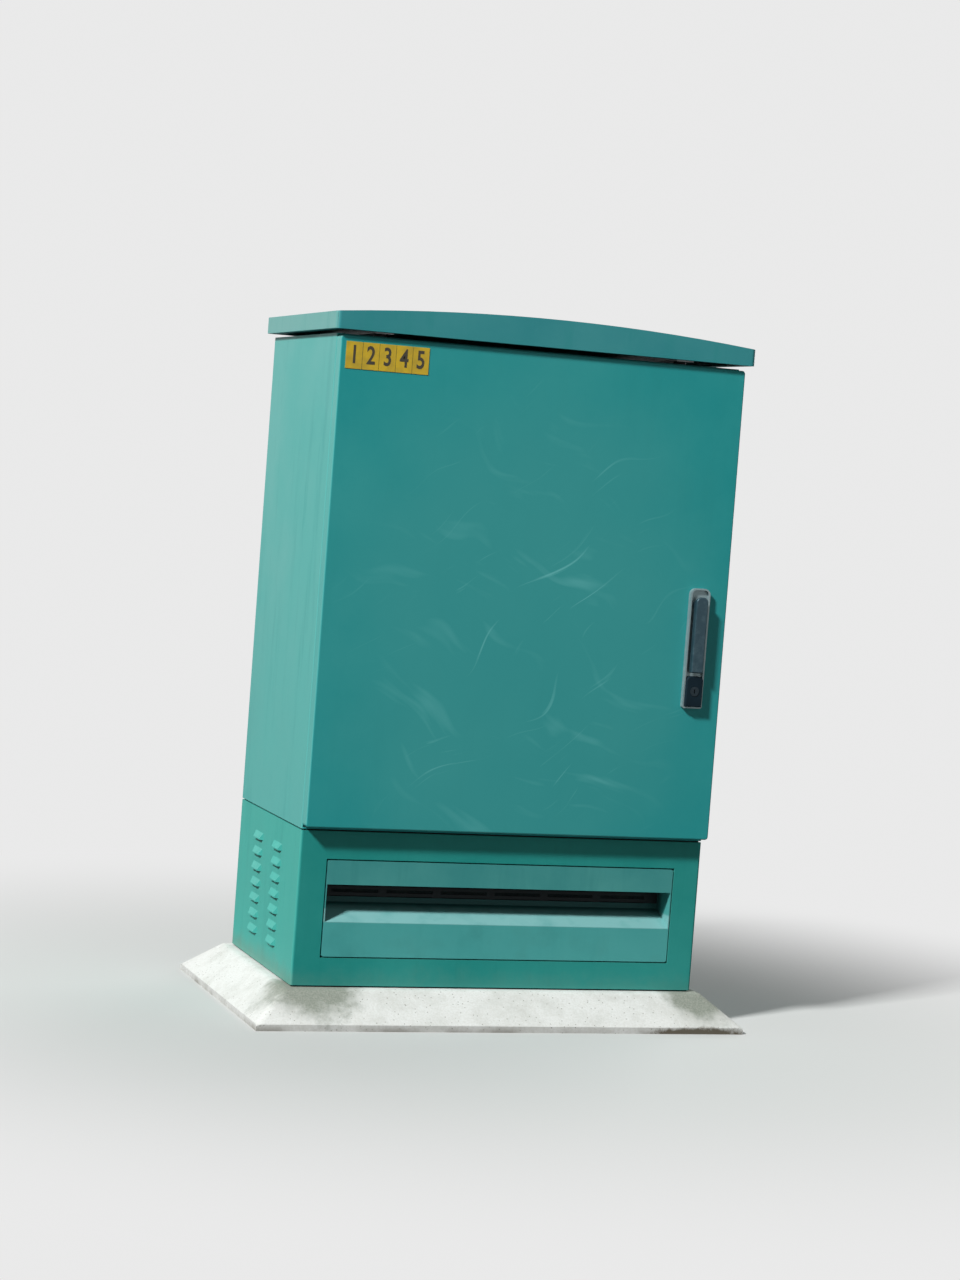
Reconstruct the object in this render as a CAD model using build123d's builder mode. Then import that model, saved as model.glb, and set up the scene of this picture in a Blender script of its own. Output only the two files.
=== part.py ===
from build123d import *

import math
import os

os.makedirs("parts", exist_ok=True)

# Frame: +X towards the handle side, +Y towards the back, +Z up, in millimetres.
# The origin is the middle of the plinth's underside.

# Overall sizes
width = 800.0
depth = 437.0
base_height = 290.0
body_height = 906.0
sheet = 2.5
thin_sheet = 2.0
corner_radius = 5.0

# Clearances
screw_clearance = 0.3
pin_clearance = 0.08
slide_clearance = 0.3
turn_gap = 0.3
hex_sides = 6

# Plinth
plinth_height = 66.0
plinth_lip = 12.0
plinth_margin = 16.0
plinth_run = 65.0
plinth_edge = 18.0
duct_side_margin = 120.0
duct_width = width - 2 * duct_side_margin
duct_depth = 240.0
duct_radius = 40.0

# Base shell
bed_thickness = 3.0
bed_inset = 5.0
bed_width = 34.0
flange_width = 42.0
anchor_inset = 22.0
anchor_radius = 6.0
anchor_embedment = 45.0
anchor_head = 8.0

# Louvred cover in the front of the base
cover_width = width - 110.0
cover_height = base_height - 111.0
cover_bottom = plinth_height + 57.0
cover_gap = 2.5
cover_return = 18.0
cover_lip = 12.0
cover_corner = 4.0
slat_height = 0.25 * cover_height
slat_hem = 14.0
apron_height = 0.36 * cover_height
ledge_depth = 60.0
ledge_rise = 29.0
ledge_upstand = 10.0
cover_screw_inset = 45.0
screen_thickness = 1.5
screen_slot = 6.0
screen_columns = 6
screen_rows = 3
screen_pitch = (cover_width - 42.0) / screen_columns
screen_slot_length = screen_pitch - 16.0

# Pressed louvres in the sides of the base
louvre_width = 56.0
louvre_height = 13.0
louvre_proud = 6.5
louvre_taper = 7.0
louvre_nose = 2.0
louvre_skin = 1.2
louvre_rows = 7
louvre_columns = 2
louvre_pitch = (base_height - 80.0) / louvre_rows
louvre_column_pitch = 136.0
louvre_centre_height = plinth_height + base_height / 2 + 5.0

# Body shell and door frame
seam = 3.0
gutter_set_back = 12.5
hinge_gutter = 48.0
latch_gutter = 21.5
sill_gutter = 47.0
head_gutter = 46.0
lip_front = 15.5
gland_side_margin = 120.0
gland_opening_width = width - 2 * gland_side_margin
gland_opening_depth = 180.0
gland_centre_y = 50.0
body_bolt_radius = 5.0
body_bolt_x = width / 2 - 60.0
body_bolt_setback = 30.0
top_vent_count = 5
top_vent_side_margin = 125.0
top_vent_gap = 30.0
top_vent_pitch = (width - 2 * top_vent_side_margin) / top_vent_count
top_vent_length = top_vent_pitch - top_vent_gap
top_vent_width = 10.0

# Door
door_standoff = 28.0
door_gap = 3.0
door_drop = sheet + 0.5
door_height = body_height - 6.0 - door_drop
door_corner = 6.0
door_fold = 3.0
seal_width = 10.0
seal_gap = 0.3
stiffener_depth = 12.0
stiffener_width = 44.0
stiffener_flange = 10.0
stiffener_length = door_height - 117.0
stiffener_left_x = -150.0
stiffener_right_x = 170.0

# Hinges
hinge_inset = 14.0
hinge_setback = 12.5
hinge_spacing = 0.39 * door_height
hinge_height = 60.0
pin_radius = 4.0
knuckle_radius = 7.0
hinge_plate = 2.5
ear_thickness = 3.0
arm_reach = 26.0
arm_thickness = 5.0
hinge_foot = 16.0

# Roof
roof_gap = 7.0
roof_overhang = 14.0
roof_front_overhang = 12.0
roof_back_overhang = 11.0
fascia_height = 31.0
arch_rise = 21.0
roof_lip = 22.0
roof_corner_radius = 9.0
rail_x = width / 2 - 100.0
rail_width = 34.0
rail_overrun = 15.0
spacer_radius = 12.0
spacer_spacing = 160.0
roof_bolt_radius = 4.0

# Swing handle
handle_inset = 60.0
handle_lift = 252.0
handle_height = 228.0
handle_width = 40.0
dish_plate = 4.0
dish_rim = 10.0
dish_wall = 3.0
dish_corner = 4.0
dish_top_corner = 12.0
spindle_lift = 195.0
spindle_radius = 7.0
spindle_hole_gap = 4.0
lever_width = 24.0
lever_reach = 127.0
lever_thickness = 12.0
lever_head_radius = 10.0
lever_edge = 2.5
lever_top = 17.0
lever_gap = 0.5
lift_angle = 30.0
lever_pin_radius = 2.0
lever_pin_depth = 5.0
lever_pin_cap = 2.0
tongue_swing = 2.8
tongue_width = 8.0
tongue_radius = 4.2
tongue_height = 14.0
rotor_flange_radius = 13.0
rotor_flange = 3.0
lock_lift = 33.0
lock_radius = 9.0
lock_hole_gap = 2.0
lock_tail = 3.5
lock_cam_width = 7.0
lock_cam_reach = 15.0
lock_cam_thickness = 2.5
keyway_width = 2.4
keyway_height = 8.0
keyway_depth = 4.0
lock_block_height = 58.0
lock_block_proud = 16.0
lock_block_corner = 9.0
lock_block_edge = 2.0
housing_gap = 0.2
core_proud = 1.0

# Latch gear and rods
gear_module = 2.0
pinion_teeth = 12
pressure_angle = 25.0
gear_addendum = 1.9
gear_dedendum = 2.4
gear_backlash = 0.3
pinion_width = 6.0
square_size = 9.0
gear_depth = 6.5
rod_width = 8.0
rod_thickness = 5.0
rack_margin = 12.0
case_width = 60.0
case_height = 72.0
case_depth = 15.5
case_foot = 12.0
rod_end_gap = 1.0
keeper_width = 24.0
keeper_drop = 10.0
keeper_hook = 12.0
keeper_gap = 1.5
guide_width = 22.0
guide_height = 14.0
guide_depth = 14.0
guide_near = 115.0
guide_inset = 92.0

# Nineteen-inch equipment rack
rack_unit = 44.45
rack_units = 18
rack_lift = 18.5
rack_front = -120.0
rack_panel_width = 482.6
rack_hole_spacing = rack_panel_width - 17.5
rack_hole_radius = 3.5
rack_hole_pitch = rack_unit / 2.8
rack_square = 9.5
rack_opening = rack_panel_width - 32.6
post_depth = 40.0
post_wall = 2.0
post_flange = 25.0
panel_thickness = 2.5
panel_gap = 0.8
screw_radius = 3.0
screw_head_radius = 5.0
screw_head = 3.5

# Terminal frame
terminal_first_unit = 4
terminal_units = 5
terminal_recess = 58.0
terminal_ear_gap = 4.0
terminal_spacing = rack_opening / 3 - 10.0
terminal_block_width = terminal_spacing - 30.0
terminal_block_depth = 40.0
terminal_rows = 10
terminal_pitch = 19.0
terminal_ridge = 12.0
terminal_valley = 4.0

# Mounting rail with switch and breakers
rail_first_unit = 9
rail_units = 3
rail_height = 35.0
rail_depth = 7.5
rail_skin = 1.2
rail_flange = 5.0
module_width = 17.8
module_height = 85.0
module_shoulder = 44.0
module_nose = 60.0
nose_height = 45.0
switch_modules = 3
switch_x = 105.0 - rack_opening / 2
breaker_count = 3
breaker_pitch = 18.0
toggle_radius = 5.5
toggle_reach = 14.0
toggle_thickness = 3.0
toggle_slot = 9.0
toggle_window = 19.0
toggle_angle = 40.0
knob_radius = 14.0
knob_depth = 9.0
knob_stem = 10.0

# Fan panel
fan_first_unit = 12
fan_units = 3
fan_size = 120.0
fan_bore = 114.0
fan_depth = 38.0
fan_x = rack_opening / 4 - 2.5
fan_hub_radius = 22.0
fan_blades = 7
fan_spider = 3.0
fan_hub_gap = 4.0
guard_bar = 5.0
guard_ring_radius = 41.0
blade_thickness = 2.0
blade_pitch_angle = 38.0
blade_chord = 28.0
blade_camber = 3.5
blade_tip_gap = 4.0

# Equipment case
case_first_unit = 15
case_units = 4
chassis_width = rack_opening - 10.0
chassis_depth = 220.0
vent_count = 10
vent_pitch = chassis_width / 27.5
vent_length = 110.0
vent_width = 7.0
bow_x = chassis_width / 2 - 15.0
bow_reach = 28.0
bow_height = 100.0
bow_bar = 8.0

# Smaller fittings
gland_count = 5
gland_pitch = gland_opening_width / 5.6
gland_radius = 20.0
gland_thread = 15.0
gland_hex_radius = 27.0
gland_hex_height = 8.0
gland_cap_radius = 23.0
gland_cap_height = 32.0
gland_cap_dome = 10.0
gland_nut_height = 7.0
gland_plate_thickness = 3.0
earth_bar_length = rack_panel_width
earth_bar_height = 25.0
earth_bar_thickness = 5.0
earth_screw_count = 8
earth_screw_pitch = 38.0
earth_screw_radius = 4.0
earth_screw_length = 13.0
insulator_depth = 20.0
insulator_radius = 11.0
trunk_size = 50.0
trunk_length = body_height - 166.0
trunk_slots = 10
trunk_slot_depth = 35.0
trunk_slot_height = 20.0
trunk_lift = 60.0
pocket_width = 220.0
pocket_height = 180.0
pocket_depth = 21.0
pocket_lift = 195.0
pocket_notch_width = 110.0
pocket_notch_height = 54.0
tile_width = 31.8
tile_height = 49.0
tile_thickness = 1.0
tile_gap = 0.8
tile_count = 5
tile_margin = 10.0
tile_drop = 35.5

# Places worked out from the sizes above
front = -depth / 2
back = depth / 2
base_bottom = plinth_height + bed_thickness
base_top = plinth_height + base_height
body_bottom = base_top + seam
body_top = body_bottom + body_height
roof_bottom = body_top + roof_gap
cover_top = cover_bottom + cover_height
cover_seat = front + cover_return
slat_bottom = cover_top - slat_height
ledge_front = cover_bottom + apron_height
ledge_back = ledge_front + ledge_rise
gutter = front + gutter_set_back
lip_left = -width / 2 + hinge_gutter
lip_right = width / 2 - latch_gutter
lip_bottom = body_bottom + sill_gutter
lip_top = body_top - head_gutter
lip_y = front - lip_front
door_face = front - door_standoff
door_back = front - door_gap
door_inner = door_face + thin_sheet
door_top = body_top - door_drop
door_bottom = door_top - door_height
hinge_x = -width / 2 + hinge_inset
hinge_y = door_face + hinge_setback
hinge_z = (door_top + door_bottom) / 2
handle_x = width / 2 - handle_inset
handle_bottom = door_bottom + handle_lift
spindle_z = handle_bottom + spindle_lift
lock_z = handle_bottom + lock_lift
pocket_bottom = door_bottom + pocket_lift
tile_left = tile_margin - width / 2
tile_centre_z = door_top - tile_drop
rack_bottom = body_bottom + sheet + rack_lift
roof_front = door_face - roof_front_overhang
roof_rear = back + roof_back_overhang
dish_front = door_face - dish_plate
lever_back = door_face - dish_rim - lever_gap
lever_pin_y = lever_back - lever_pin_depth
gear_radius = gear_module * pinion_teeth / 2
rod_travel = gear_radius * math.pi / 2
gear_front = door_inner + gear_depth
case_back = door_inner + case_depth
keeper_edge_top = lip_top - sheet - keeper_drop - keeper_hook
keeper_edge_bottom = lip_bottom + sheet + keeper_drop + keeper_hook
upper_rod_x = handle_x + gear_radius + gear_dedendum + rod_width / 2
lower_rod_x = handle_x - gear_radius - gear_dedendum - rod_width / 2
rail_z = rack_bottom + (rail_first_unit - 1 + rail_units / 2) * rack_unit
rail_face = rack_front - rail_depth
module_face = rail_face - module_shoulder
nose_face = rail_face - module_nose
toggle_y = nose_face + toggle_radius - 2.0
fan_z = rack_bottom + (fan_first_unit - 1 + fan_units / 2) * rack_unit


def at_y(y):
    """A sketch plane seen from the front: local x is X and local y is Z."""
    return Plane(origin=(0, y, 0), x_dir=(1, 0, 0), z_dir=(0, -1, 0))


def unit_z(unit):
    """Height of the middle of a rack unit, counted from 1 at the bottom."""
    return rack_bottom + (unit - 0.5) * rack_unit


def folded_outline(points, thickness):
    """The outline of a sheet folded along the points and thickened to their left, with mitred bends."""
    path = [Vector(*point) for point in points]
    far_side = []
    for index, point in enumerate(path):
        runs = []
        if index > 0:
            runs.append((point - path[index - 1]).normalized())
        if index < len(path) - 1:
            runs.append((path[index + 1] - point).normalized())
        mitre = Vector(-runs[0].Y, runs[0].X) + Vector(-runs[-1].Y, runs[-1].X)
        far_side.append(point + mitre * (2 * thickness / mitre.dot(mitre)))
    return path + far_side[::-1]


def folded_bar(plane, points, thickness, length):
    """A folded strip of sheet that runs along the plane's normal."""
    with BuildPart() as bar:
        with BuildSketch(plane):
            with BuildLine():
                Polyline(*folded_outline(points, thickness), close=True)
            make_face()
        extrude(amount=length)
    return bar.part


def screw(length, radius, head_radius, head_height):
    """A hexagon screw along -Y whose head stands in front of y = 0 and whose shank runs back from it."""
    with BuildPart() as piece:
        with BuildSketch(at_y(0)):
            RegularPolygon(head_radius, hex_sides)
        extrude(amount=head_height)
        with BuildSketch(at_y(0)):
            Circle(radius)
        extrude(amount=-length)
    return piece.part


def anchor_places():
    """The four corners where the base is bolted to the plinth."""
    return GridLocations(width - 2 * anchor_inset, depth - 2 * anchor_inset, 2, 2)


def body_bolt_places():
    """The four places where the body is bolted to the base."""
    return GridLocations(2 * body_bolt_x, depth - 2 * body_bolt_setback, 2, 2)


def roof_bolt_places():
    """The six places where the roof stands on its spacers."""
    return GridLocations(2 * rail_x, spacer_spacing, 2, 3)


# Concrete plinth: a low lip, sloped sides, a flat top with a cable duct and cast-in anchor sockets
with BuildPart() as plinth:
    with BuildSketch():
        Rectangle(width + 2 * (plinth_margin + plinth_run), depth + 2 * (plinth_margin + plinth_run))
    extrude(amount=plinth_lip)
    with BuildSketch(Plane.XY.offset(plinth_lip)):
        Rectangle(width + 2 * (plinth_margin + plinth_run), depth + 2 * (plinth_margin + plinth_run))
    with BuildSketch(Plane.XY.offset(plinth_height)):
        Rectangle(width + 2 * plinth_margin, depth + 2 * plinth_margin)
    loft(ruled=True)
    hips_and_rim = plinth.edges().filter_by(lambda edge: edge.center().Z > 2 * plinth_lip)
    fillet(hips_and_rim, radius=plinth_edge)
    with BuildSketch(Plane.XY):
        RectangleRounded(duct_width, duct_depth, duct_radius)
    extrude(amount=plinth_height, mode=Mode.SUBTRACT)
    with BuildSketch(Plane.XY.offset(plinth_height)):
        with anchor_places():
            Circle(anchor_radius + screw_clearance)
    extrude(amount=-anchor_embedment - turn_gap, mode=Mode.SUBTRACT)
plinth.part.label = "plinth"
export_step(plinth.part, "parts/plinth.step")

# Rubber bed between the plinth and the base
bed_length = width - 2 * bed_inset
bed_depth = depth - 2 * bed_inset
with BuildPart() as base_bed:
    with BuildSketch(Plane.XY.offset(plinth_height)):
        Rectangle(bed_length, bed_depth)
        Rectangle(bed_length - 2 * bed_width, bed_depth - 2 * bed_width, mode=Mode.SUBTRACT)
        with anchor_places():
            Circle(anchor_radius + screw_clearance, mode=Mode.SUBTRACT)
    extrude(amount=bed_thickness)
base_bed.part.label = "base_bed"
export_step(base_bed.part, "parts/base_bed.step")

# Anchor bolts, head and washer in one, from the base flange down into the plinth
with BuildPart() as anchor_bolts:
    with BuildSketch(Plane.XY.offset(base_bottom + sheet)):
        with anchor_places():
            Circle(2 * anchor_radius)
    extrude(amount=sheet)
    with BuildSketch(Plane.XY.offset(base_bottom + 2 * sheet)):
        with anchor_places():
            RegularPolygon(1.8 * anchor_radius, hex_sides)
    extrude(amount=anchor_head)
    with BuildSketch(Plane.XY.offset(base_bottom + sheet)):
        with anchor_places():
            Circle(anchor_radius)
    extrude(amount=-sheet - bed_thickness - anchor_embedment)
anchor_bolts.part.label = "anchor_bolts"
export_step(anchor_bolts.part, "parts/anchor_bolts.step")



def louvre_hood(length, height, proud, taper, drop):
    """A rain hood on a wall that faces -X, open downwards, whose top and ends run in to a nose."""
    top = height / 2 - drop
    low = -height / 2 - drop
    with BuildPart() as hood:
        with BuildSketch(at_y(-length / 2)):
            Polygon((0, top), (-proud, low + louvre_nose), (-proud, low), (0, low), align=None)
        extrude(amount=-length)
        with BuildSketch(Plane.XY.offset(low)):
            Polygon(
                (0, -length / 2),
                (0, length / 2),
                (-proud, length / 2 - taper),
                (-proud, taper - length / 2),
                align=None,
            )
        extrude(amount=height, mode=Mode.INTERSECT)
    return hood.part


# One pressed louvre, and the hollow behind it that also opens the wall
louvre = louvre_hood(louvre_width, louvre_height, louvre_proud, louvre_taper, 0)
with BuildPart() as louvre_hollow:
    add(
        louvre_hood(
            louvre_width - 2 * louvre_skin,
            louvre_height,
            louvre_proud - louvre_skin,
            louvre_taper,
            louvre_skin,
        )
    )
    with BuildSketch(at_y(louvre_skin - louvre_width / 2)):
        with Locations((sheet / 2, -louvre_skin)):
            Rectangle(sheet, louvre_height)
    extrude(amount=2 * louvre_skin - louvre_width)
louvre_places = []
for row in range(louvre_rows):
    row_z = louvre_centre_height + (row - (louvre_rows - 1) / 2) * louvre_pitch
    for column in range(louvre_columns):
        column_y = (column - (louvre_columns - 1) / 2) * louvre_column_pitch
        louvre_places.append(Location((-width / 2, column_y, row_z)))
        louvre_places.append(Location((width / 2, column_y, row_z), (0, 0, 180)))

# Base: welded sheet box with turned-in flanges, side louvres and a rebated front opening
screen_y = front + ledge_depth + thin_sheet
opening_width = cover_width + 2 * cover_gap
opening_height = cover_height + 2 * cover_gap
cover_centre_z = cover_bottom + cover_height / 2
with BuildPart() as base_shell:
    with BuildSketch(Plane.XY.offset(base_bottom)):
        RectangleRounded(width, depth, corner_radius)
    extrude(amount=base_top - base_bottom)
    with BuildSketch(Plane.XY.offset(base_bottom + sheet)):
        Rectangle(width - 2 * sheet, depth - 2 * sheet)
    extrude(amount=base_top - base_bottom - 2 * sheet, mode=Mode.SUBTRACT)
    with BuildSketch(Plane.XY.offset(base_bottom)):
        Rectangle(width - 2 * flange_width, depth - 2 * flange_width)
    extrude(amount=base_top - base_bottom, mode=Mode.SUBTRACT)
    with BuildSketch(at_y(cover_seat + sheet)):
        with Locations((0, cover_centre_z)):
            Rectangle(opening_width + 2 * sheet, opening_height + 2 * sheet)
    extrude(amount=cover_return)
    with BuildSketch(at_y(cover_seat)):
        with Locations((0, cover_centre_z)):
            Rectangle(opening_width, opening_height)
    extrude(amount=cover_return + sheet, mode=Mode.SUBTRACT)
    with BuildSketch(at_y(cover_seat + sheet)):
        with Locations((0, cover_centre_z)):
            Rectangle(opening_width, cover_height - 2 * cover_lip)
    extrude(amount=sheet, mode=Mode.SUBTRACT)
    with Locations(*louvre_places):
        add(louvre)
        add(louvre_hollow.part, mode=Mode.SUBTRACT)
    with BuildSketch(Plane.XY.offset(base_bottom)):
        with anchor_places():
            Circle(anchor_radius + screw_clearance)
    extrude(amount=sheet, mode=Mode.SUBTRACT)
    with BuildSketch(Plane.XY.offset(base_top - sheet)):
        with body_bolt_places():
            Circle(body_bolt_radius + screw_clearance)
    extrude(amount=sheet, mode=Mode.SUBTRACT)
    cover_screw_spread = cover_width - 2 * cover_screw_inset
    with BuildSketch(at_y(cover_seat + sheet)):
        with Locations((0, cover_centre_z)):
            with GridLocations(cover_screw_spread, cover_height - cover_lip, 2, 2):
                Circle(screw_radius + screw_clearance)
    extrude(amount=sheet, mode=Mode.SUBTRACT)
base_shell.part.label = "base_shell"
export_step(base_shell.part, "parts/base_shell.step")

# Louvred cover: upper slat, slot, sloped ledge and apron, folded from sheet between two cheeks
upper_slat = [
    (cover_seat, cover_top - cover_lip),
    (cover_seat, cover_top),
    (front, cover_top),
    (front, slat_bottom),
    (front + slat_hem, slat_bottom),
]
lower_slat = [
    (front + ledge_depth, ledge_back + ledge_upstand),
    (front + ledge_depth, ledge_back),
    (front, ledge_front),
    (front, cover_bottom),
    (cover_seat, cover_bottom),
    (cover_seat, cover_bottom + cover_lip),
]
with BuildPart() as louvre_cover:
    add(folded_bar(Plane.YZ.offset(-cover_width / 2), upper_slat, thin_sheet, cover_width))
    add(folded_bar(Plane.YZ.offset(-cover_width / 2), lower_slat, thin_sheet, cover_width))
    for cheek_x in (-cover_width / 2, cover_width / 2 - thin_sheet):
        with BuildSketch(Plane.YZ.offset(cheek_x)):
            Polygon(
                (front, cover_bottom),
                (cover_seat, cover_bottom),
                (cover_seat, cover_bottom + cover_lip),
                (screen_y, ledge_back),
                (screen_y, slat_bottom),
                (cover_seat, cover_top - cover_lip),
                (cover_seat, cover_top),
                (front, cover_top),
            )
        extrude(amount=thin_sheet)
    with BuildSketch(at_y(front)):
        with Locations((0, cover_centre_z)):
            RectangleRounded(cover_width, cover_height, cover_corner)
    extrude(amount=-2 * ledge_depth, mode=Mode.INTERSECT)
    with BuildSketch(at_y(cover_seat)):
        with Locations((0, cover_centre_z)):
            with GridLocations(cover_screw_spread, cover_height - cover_lip, 2, 2):
                Circle(screw_radius + screw_clearance)
    extrude(amount=thin_sheet, mode=Mode.SUBTRACT)
louvre_cover.part.label = "louvre_cover"
export_step(louvre_cover.part, "parts/louvre_cover.step")

# Screws that hold the cover against the rebate from inside
with BuildPart() as cover_screws:
    with Locations((0, cover_seat + sheet, cover_centre_z)):
        for x in (-cover_screw_spread / 2, cover_screw_spread / 2):
            for z in (-(cover_height - cover_lip) / 2, (cover_height - cover_lip) / 2):
                with Locations(Location((x, 0, z), (0, 0, 180))):
                    add(screw(sheet + thin_sheet + sheet, screw_radius, screw_head_radius, screw_head))
cover_screws.part.label = "cover_screws"
export_step(cover_screws.part, "parts/cover_screws.step")

# Slotted vent screen behind the slot, carried by the cover's cheeks
with BuildPart() as vent_screen:
    with BuildSketch(at_y(screen_y)):
        with Locations((0, (ledge_back + slat_bottom) / 2)):
            Rectangle(cover_width, slat_bottom - ledge_back + 2 * ledge_upstand)
            with GridLocations(screen_pitch, 2 * screen_slot, screen_columns, screen_rows):
                Rectangle(screen_slot_length, screen_slot, mode=Mode.SUBTRACT)
    extrude(amount=-screen_thickness)
vent_screen.part.label = "vent_screen"
export_step(vent_screen.part, "parts/vent_screen.step")

# Seal in the seam between the base and the body
with BuildPart() as body_seal:
    with BuildSketch(Plane.XY.offset(base_top)):
        Rectangle(bed_length, bed_depth)
        Rectangle(width - 2 * flange_width, depth - 2 * flange_width, mode=Mode.SUBTRACT)
        with body_bolt_places():
            Circle(body_bolt_radius + screw_clearance, mode=Mode.SUBTRACT)
    extrude(amount=seam)
body_seal.part.label = "body_seal"
export_step(body_seal.part, "parts/body_seal.step")

# Body: sheet box open at the front, with a rain gutter and a forward lip round the doorway
lip_width = lip_right - lip_left
lip_height = lip_top - lip_bottom
lip_centre = ((lip_left + lip_right) / 2, (lip_bottom + lip_top) / 2)
with BuildPart() as body_shell:
    with BuildSketch(Plane.XY.offset(body_bottom)):
        RectangleRounded(width, depth, corner_radius)
    extrude(amount=body_height)
    with BuildSketch(at_y(back - sheet)):
        with Locations((0, (body_bottom + body_top) / 2)):
            Rectangle(width - 2 * sheet, body_height - 2 * sheet)
    extrude(amount=depth - sheet, mode=Mode.SUBTRACT)
    with BuildSketch(at_y(gutter)):
        with Locations((0, (body_bottom + body_top) / 2)):
            Rectangle(width - sheet, body_height - sheet)
        with Locations(lip_centre):
            Rectangle(lip_width - 2 * sheet, lip_height - 2 * sheet, mode=Mode.SUBTRACT)
    extrude(amount=-sheet)
    with BuildSketch(at_y(gutter)):
        with Locations(lip_centre):
            Rectangle(lip_width, lip_height)
            Rectangle(lip_width - 2 * sheet, lip_height - 2 * sheet, mode=Mode.SUBTRACT)
    extrude(amount=gutter - lip_y)
    with BuildSketch(Plane.XY.offset(body_bottom)):
        with Locations((0, gland_centre_y)):
            Rectangle(gland_opening_width, gland_opening_depth)
        with body_bolt_places():
            Circle(body_bolt_radius + screw_clearance)
    extrude(amount=sheet, mode=Mode.SUBTRACT)
    with BuildSketch(Plane.XY.offset(body_top)):
        with GridLocations(top_vent_pitch, spacer_spacing, top_vent_count, 2):
            SlotOverall(top_vent_length, top_vent_width)
        with roof_bolt_places():
            Circle(roof_bolt_radius + screw_clearance)
    extrude(amount=-sheet, mode=Mode.SUBTRACT)
body_shell.part.label = "body_shell"
export_step(body_shell.part, "parts/body_shell.step")

# Bolts that hold the body down on the base
with BuildPart() as body_bolts:
    with BuildSketch(Plane.XY.offset(body_bottom + sheet)):
        with body_bolt_places():
            RegularPolygon(2 * body_bolt_radius, hex_sides)
    extrude(amount=body_bolt_radius)
    with BuildSketch(Plane.XY.offset(body_bottom + sheet)):
        with body_bolt_places():
            Circle(body_bolt_radius)
    extrude(amount=-seam - 4 * sheet)
body_bolts.part.label = "body_bolts"
export_step(body_bolts.part, "parts/body_bolts.step")

# Gland plate over the floor opening
plate_width = gland_opening_width + flange_width
plate_depth = gland_opening_depth + flange_width
with BuildPart() as gland_plate:
    with BuildSketch(Plane.XY.offset(body_bottom + sheet)):
        with Locations((0, gland_centre_y)):
            RectangleRounded(plate_width, plate_depth, corner_radius)
            with GridLocations(gland_pitch, 0, gland_count, 1):
                Circle(gland_radius + screw_clearance, mode=Mode.SUBTRACT)
    extrude(amount=gland_plate_thickness)
gland_plate.part.label = "gland_plate"
export_step(gland_plate.part, "parts/gland_plate.step")

# Blanked cable glands: a hexagon body and a domed cap above the plate, a thread below it
gland_seat = body_bottom + sheet + gland_plate_thickness
with BuildPart() as cable_glands:
    for index in range(gland_count):
        gland_x = (index - (gland_count - 1) / 2) * gland_pitch
        with BuildSketch(Plane(origin=(gland_x, gland_centre_y, gland_seat))):
            RegularPolygon(gland_hex_radius, hex_sides)
        extrude(amount=gland_hex_height)
        gland_axis = (gland_x, gland_centre_y, gland_seat)
        with BuildSketch(Plane(origin=gland_axis, x_dir=(1, 0, 0), z_dir=(0, -1, 0))):
            with BuildLine():
                Polyline(
                    (0, -gland_thread),
                    (gland_radius, -gland_thread),
                    (gland_radius, gland_hex_height),
                    (gland_cap_radius, gland_hex_height),
                    (gland_cap_radius, gland_cap_height - gland_cap_dome),
                    (gland_cap_radius - gland_cap_dome / 2, gland_cap_height),
                    (0, gland_cap_height),
                    close=True,
                )
            make_face()
        revolve(axis=Axis((gland_x, gland_centre_y, 0), (0, 0, 1)))
cable_glands.part.label = "cable_glands"
export_step(cable_glands.part, "parts/cable_glands.step")

# Locknuts under the gland plate
with BuildPart() as gland_nuts:
    with BuildSketch(Plane.XY.offset(body_bottom + sheet)):
        with Locations((0, gland_centre_y)):
            with GridLocations(gland_pitch, 0, gland_count, 1):
                RegularPolygon(gland_hex_radius, hex_sides)
                Circle(gland_radius + pin_clearance, mode=Mode.SUBTRACT)
    extrude(amount=-gland_nut_height)
gland_nuts.part.label = "gland_nuts"
export_step(gland_nuts.part, "parts/gland_nuts.step")

# Roof: barrel-arched shell with fascias and a turned-in lip, standing clear of the body
roof_half_width = width / 2 + roof_overhang
roof_depth = roof_rear - roof_front
roof_crown = roof_bottom + fascia_height + arch_rise
arch_radius = (roof_half_width**2 + arch_rise**2) / (2 * arch_rise)
inner_half_width = roof_half_width - sheet


def arch_height(x, skin):
    """Height of the arch at x, for the outer face or for a face a skin's thickness below it."""
    radius = arch_radius - skin
    return roof_crown - arch_radius + math.sqrt(radius**2 - x**2)


with BuildPart() as roof:
    with BuildSketch(at_y(roof_front)):
        with BuildLine():
            ThreePointArc(
                (-roof_half_width, arch_height(roof_half_width, 0)),
                (0, roof_crown),
                (roof_half_width, arch_height(roof_half_width, 0)),
            )
            Polyline(
                (roof_half_width, arch_height(roof_half_width, 0)),
                (roof_half_width, roof_bottom),
                (-roof_half_width, roof_bottom),
                (-roof_half_width, arch_height(roof_half_width, 0)),
            )
        make_face()
    extrude(amount=-roof_depth)
    roof_corners = roof.edges().filter_by(Axis.Z)
    fillet(roof_corners, radius=roof_corner_radius)
    with BuildSketch(at_y(roof_front + sheet)):
        with BuildLine():
            ThreePointArc(
                (-inner_half_width, arch_height(inner_half_width, sheet)),
                (0, roof_crown - sheet),
                (inner_half_width, arch_height(inner_half_width, sheet)),
            )
            Polyline(
                (inner_half_width, arch_height(inner_half_width, sheet)),
                (inner_half_width, roof_bottom + sheet),
                (-inner_half_width, roof_bottom + sheet),
                (-inner_half_width, arch_height(inner_half_width, sheet)),
            )
        make_face()
    extrude(amount=-(roof_depth - 2 * sheet), mode=Mode.SUBTRACT)
    with BuildSketch(Plane.XY.offset(roof_bottom)):
        with Locations((0, (roof_front + roof_rear) / 2)):
            Rectangle(2 * (roof_half_width - roof_lip), roof_depth - 2 * roof_lip)
    extrude(amount=sheet, mode=Mode.SUBTRACT)
roof.part.label = "roof"
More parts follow.
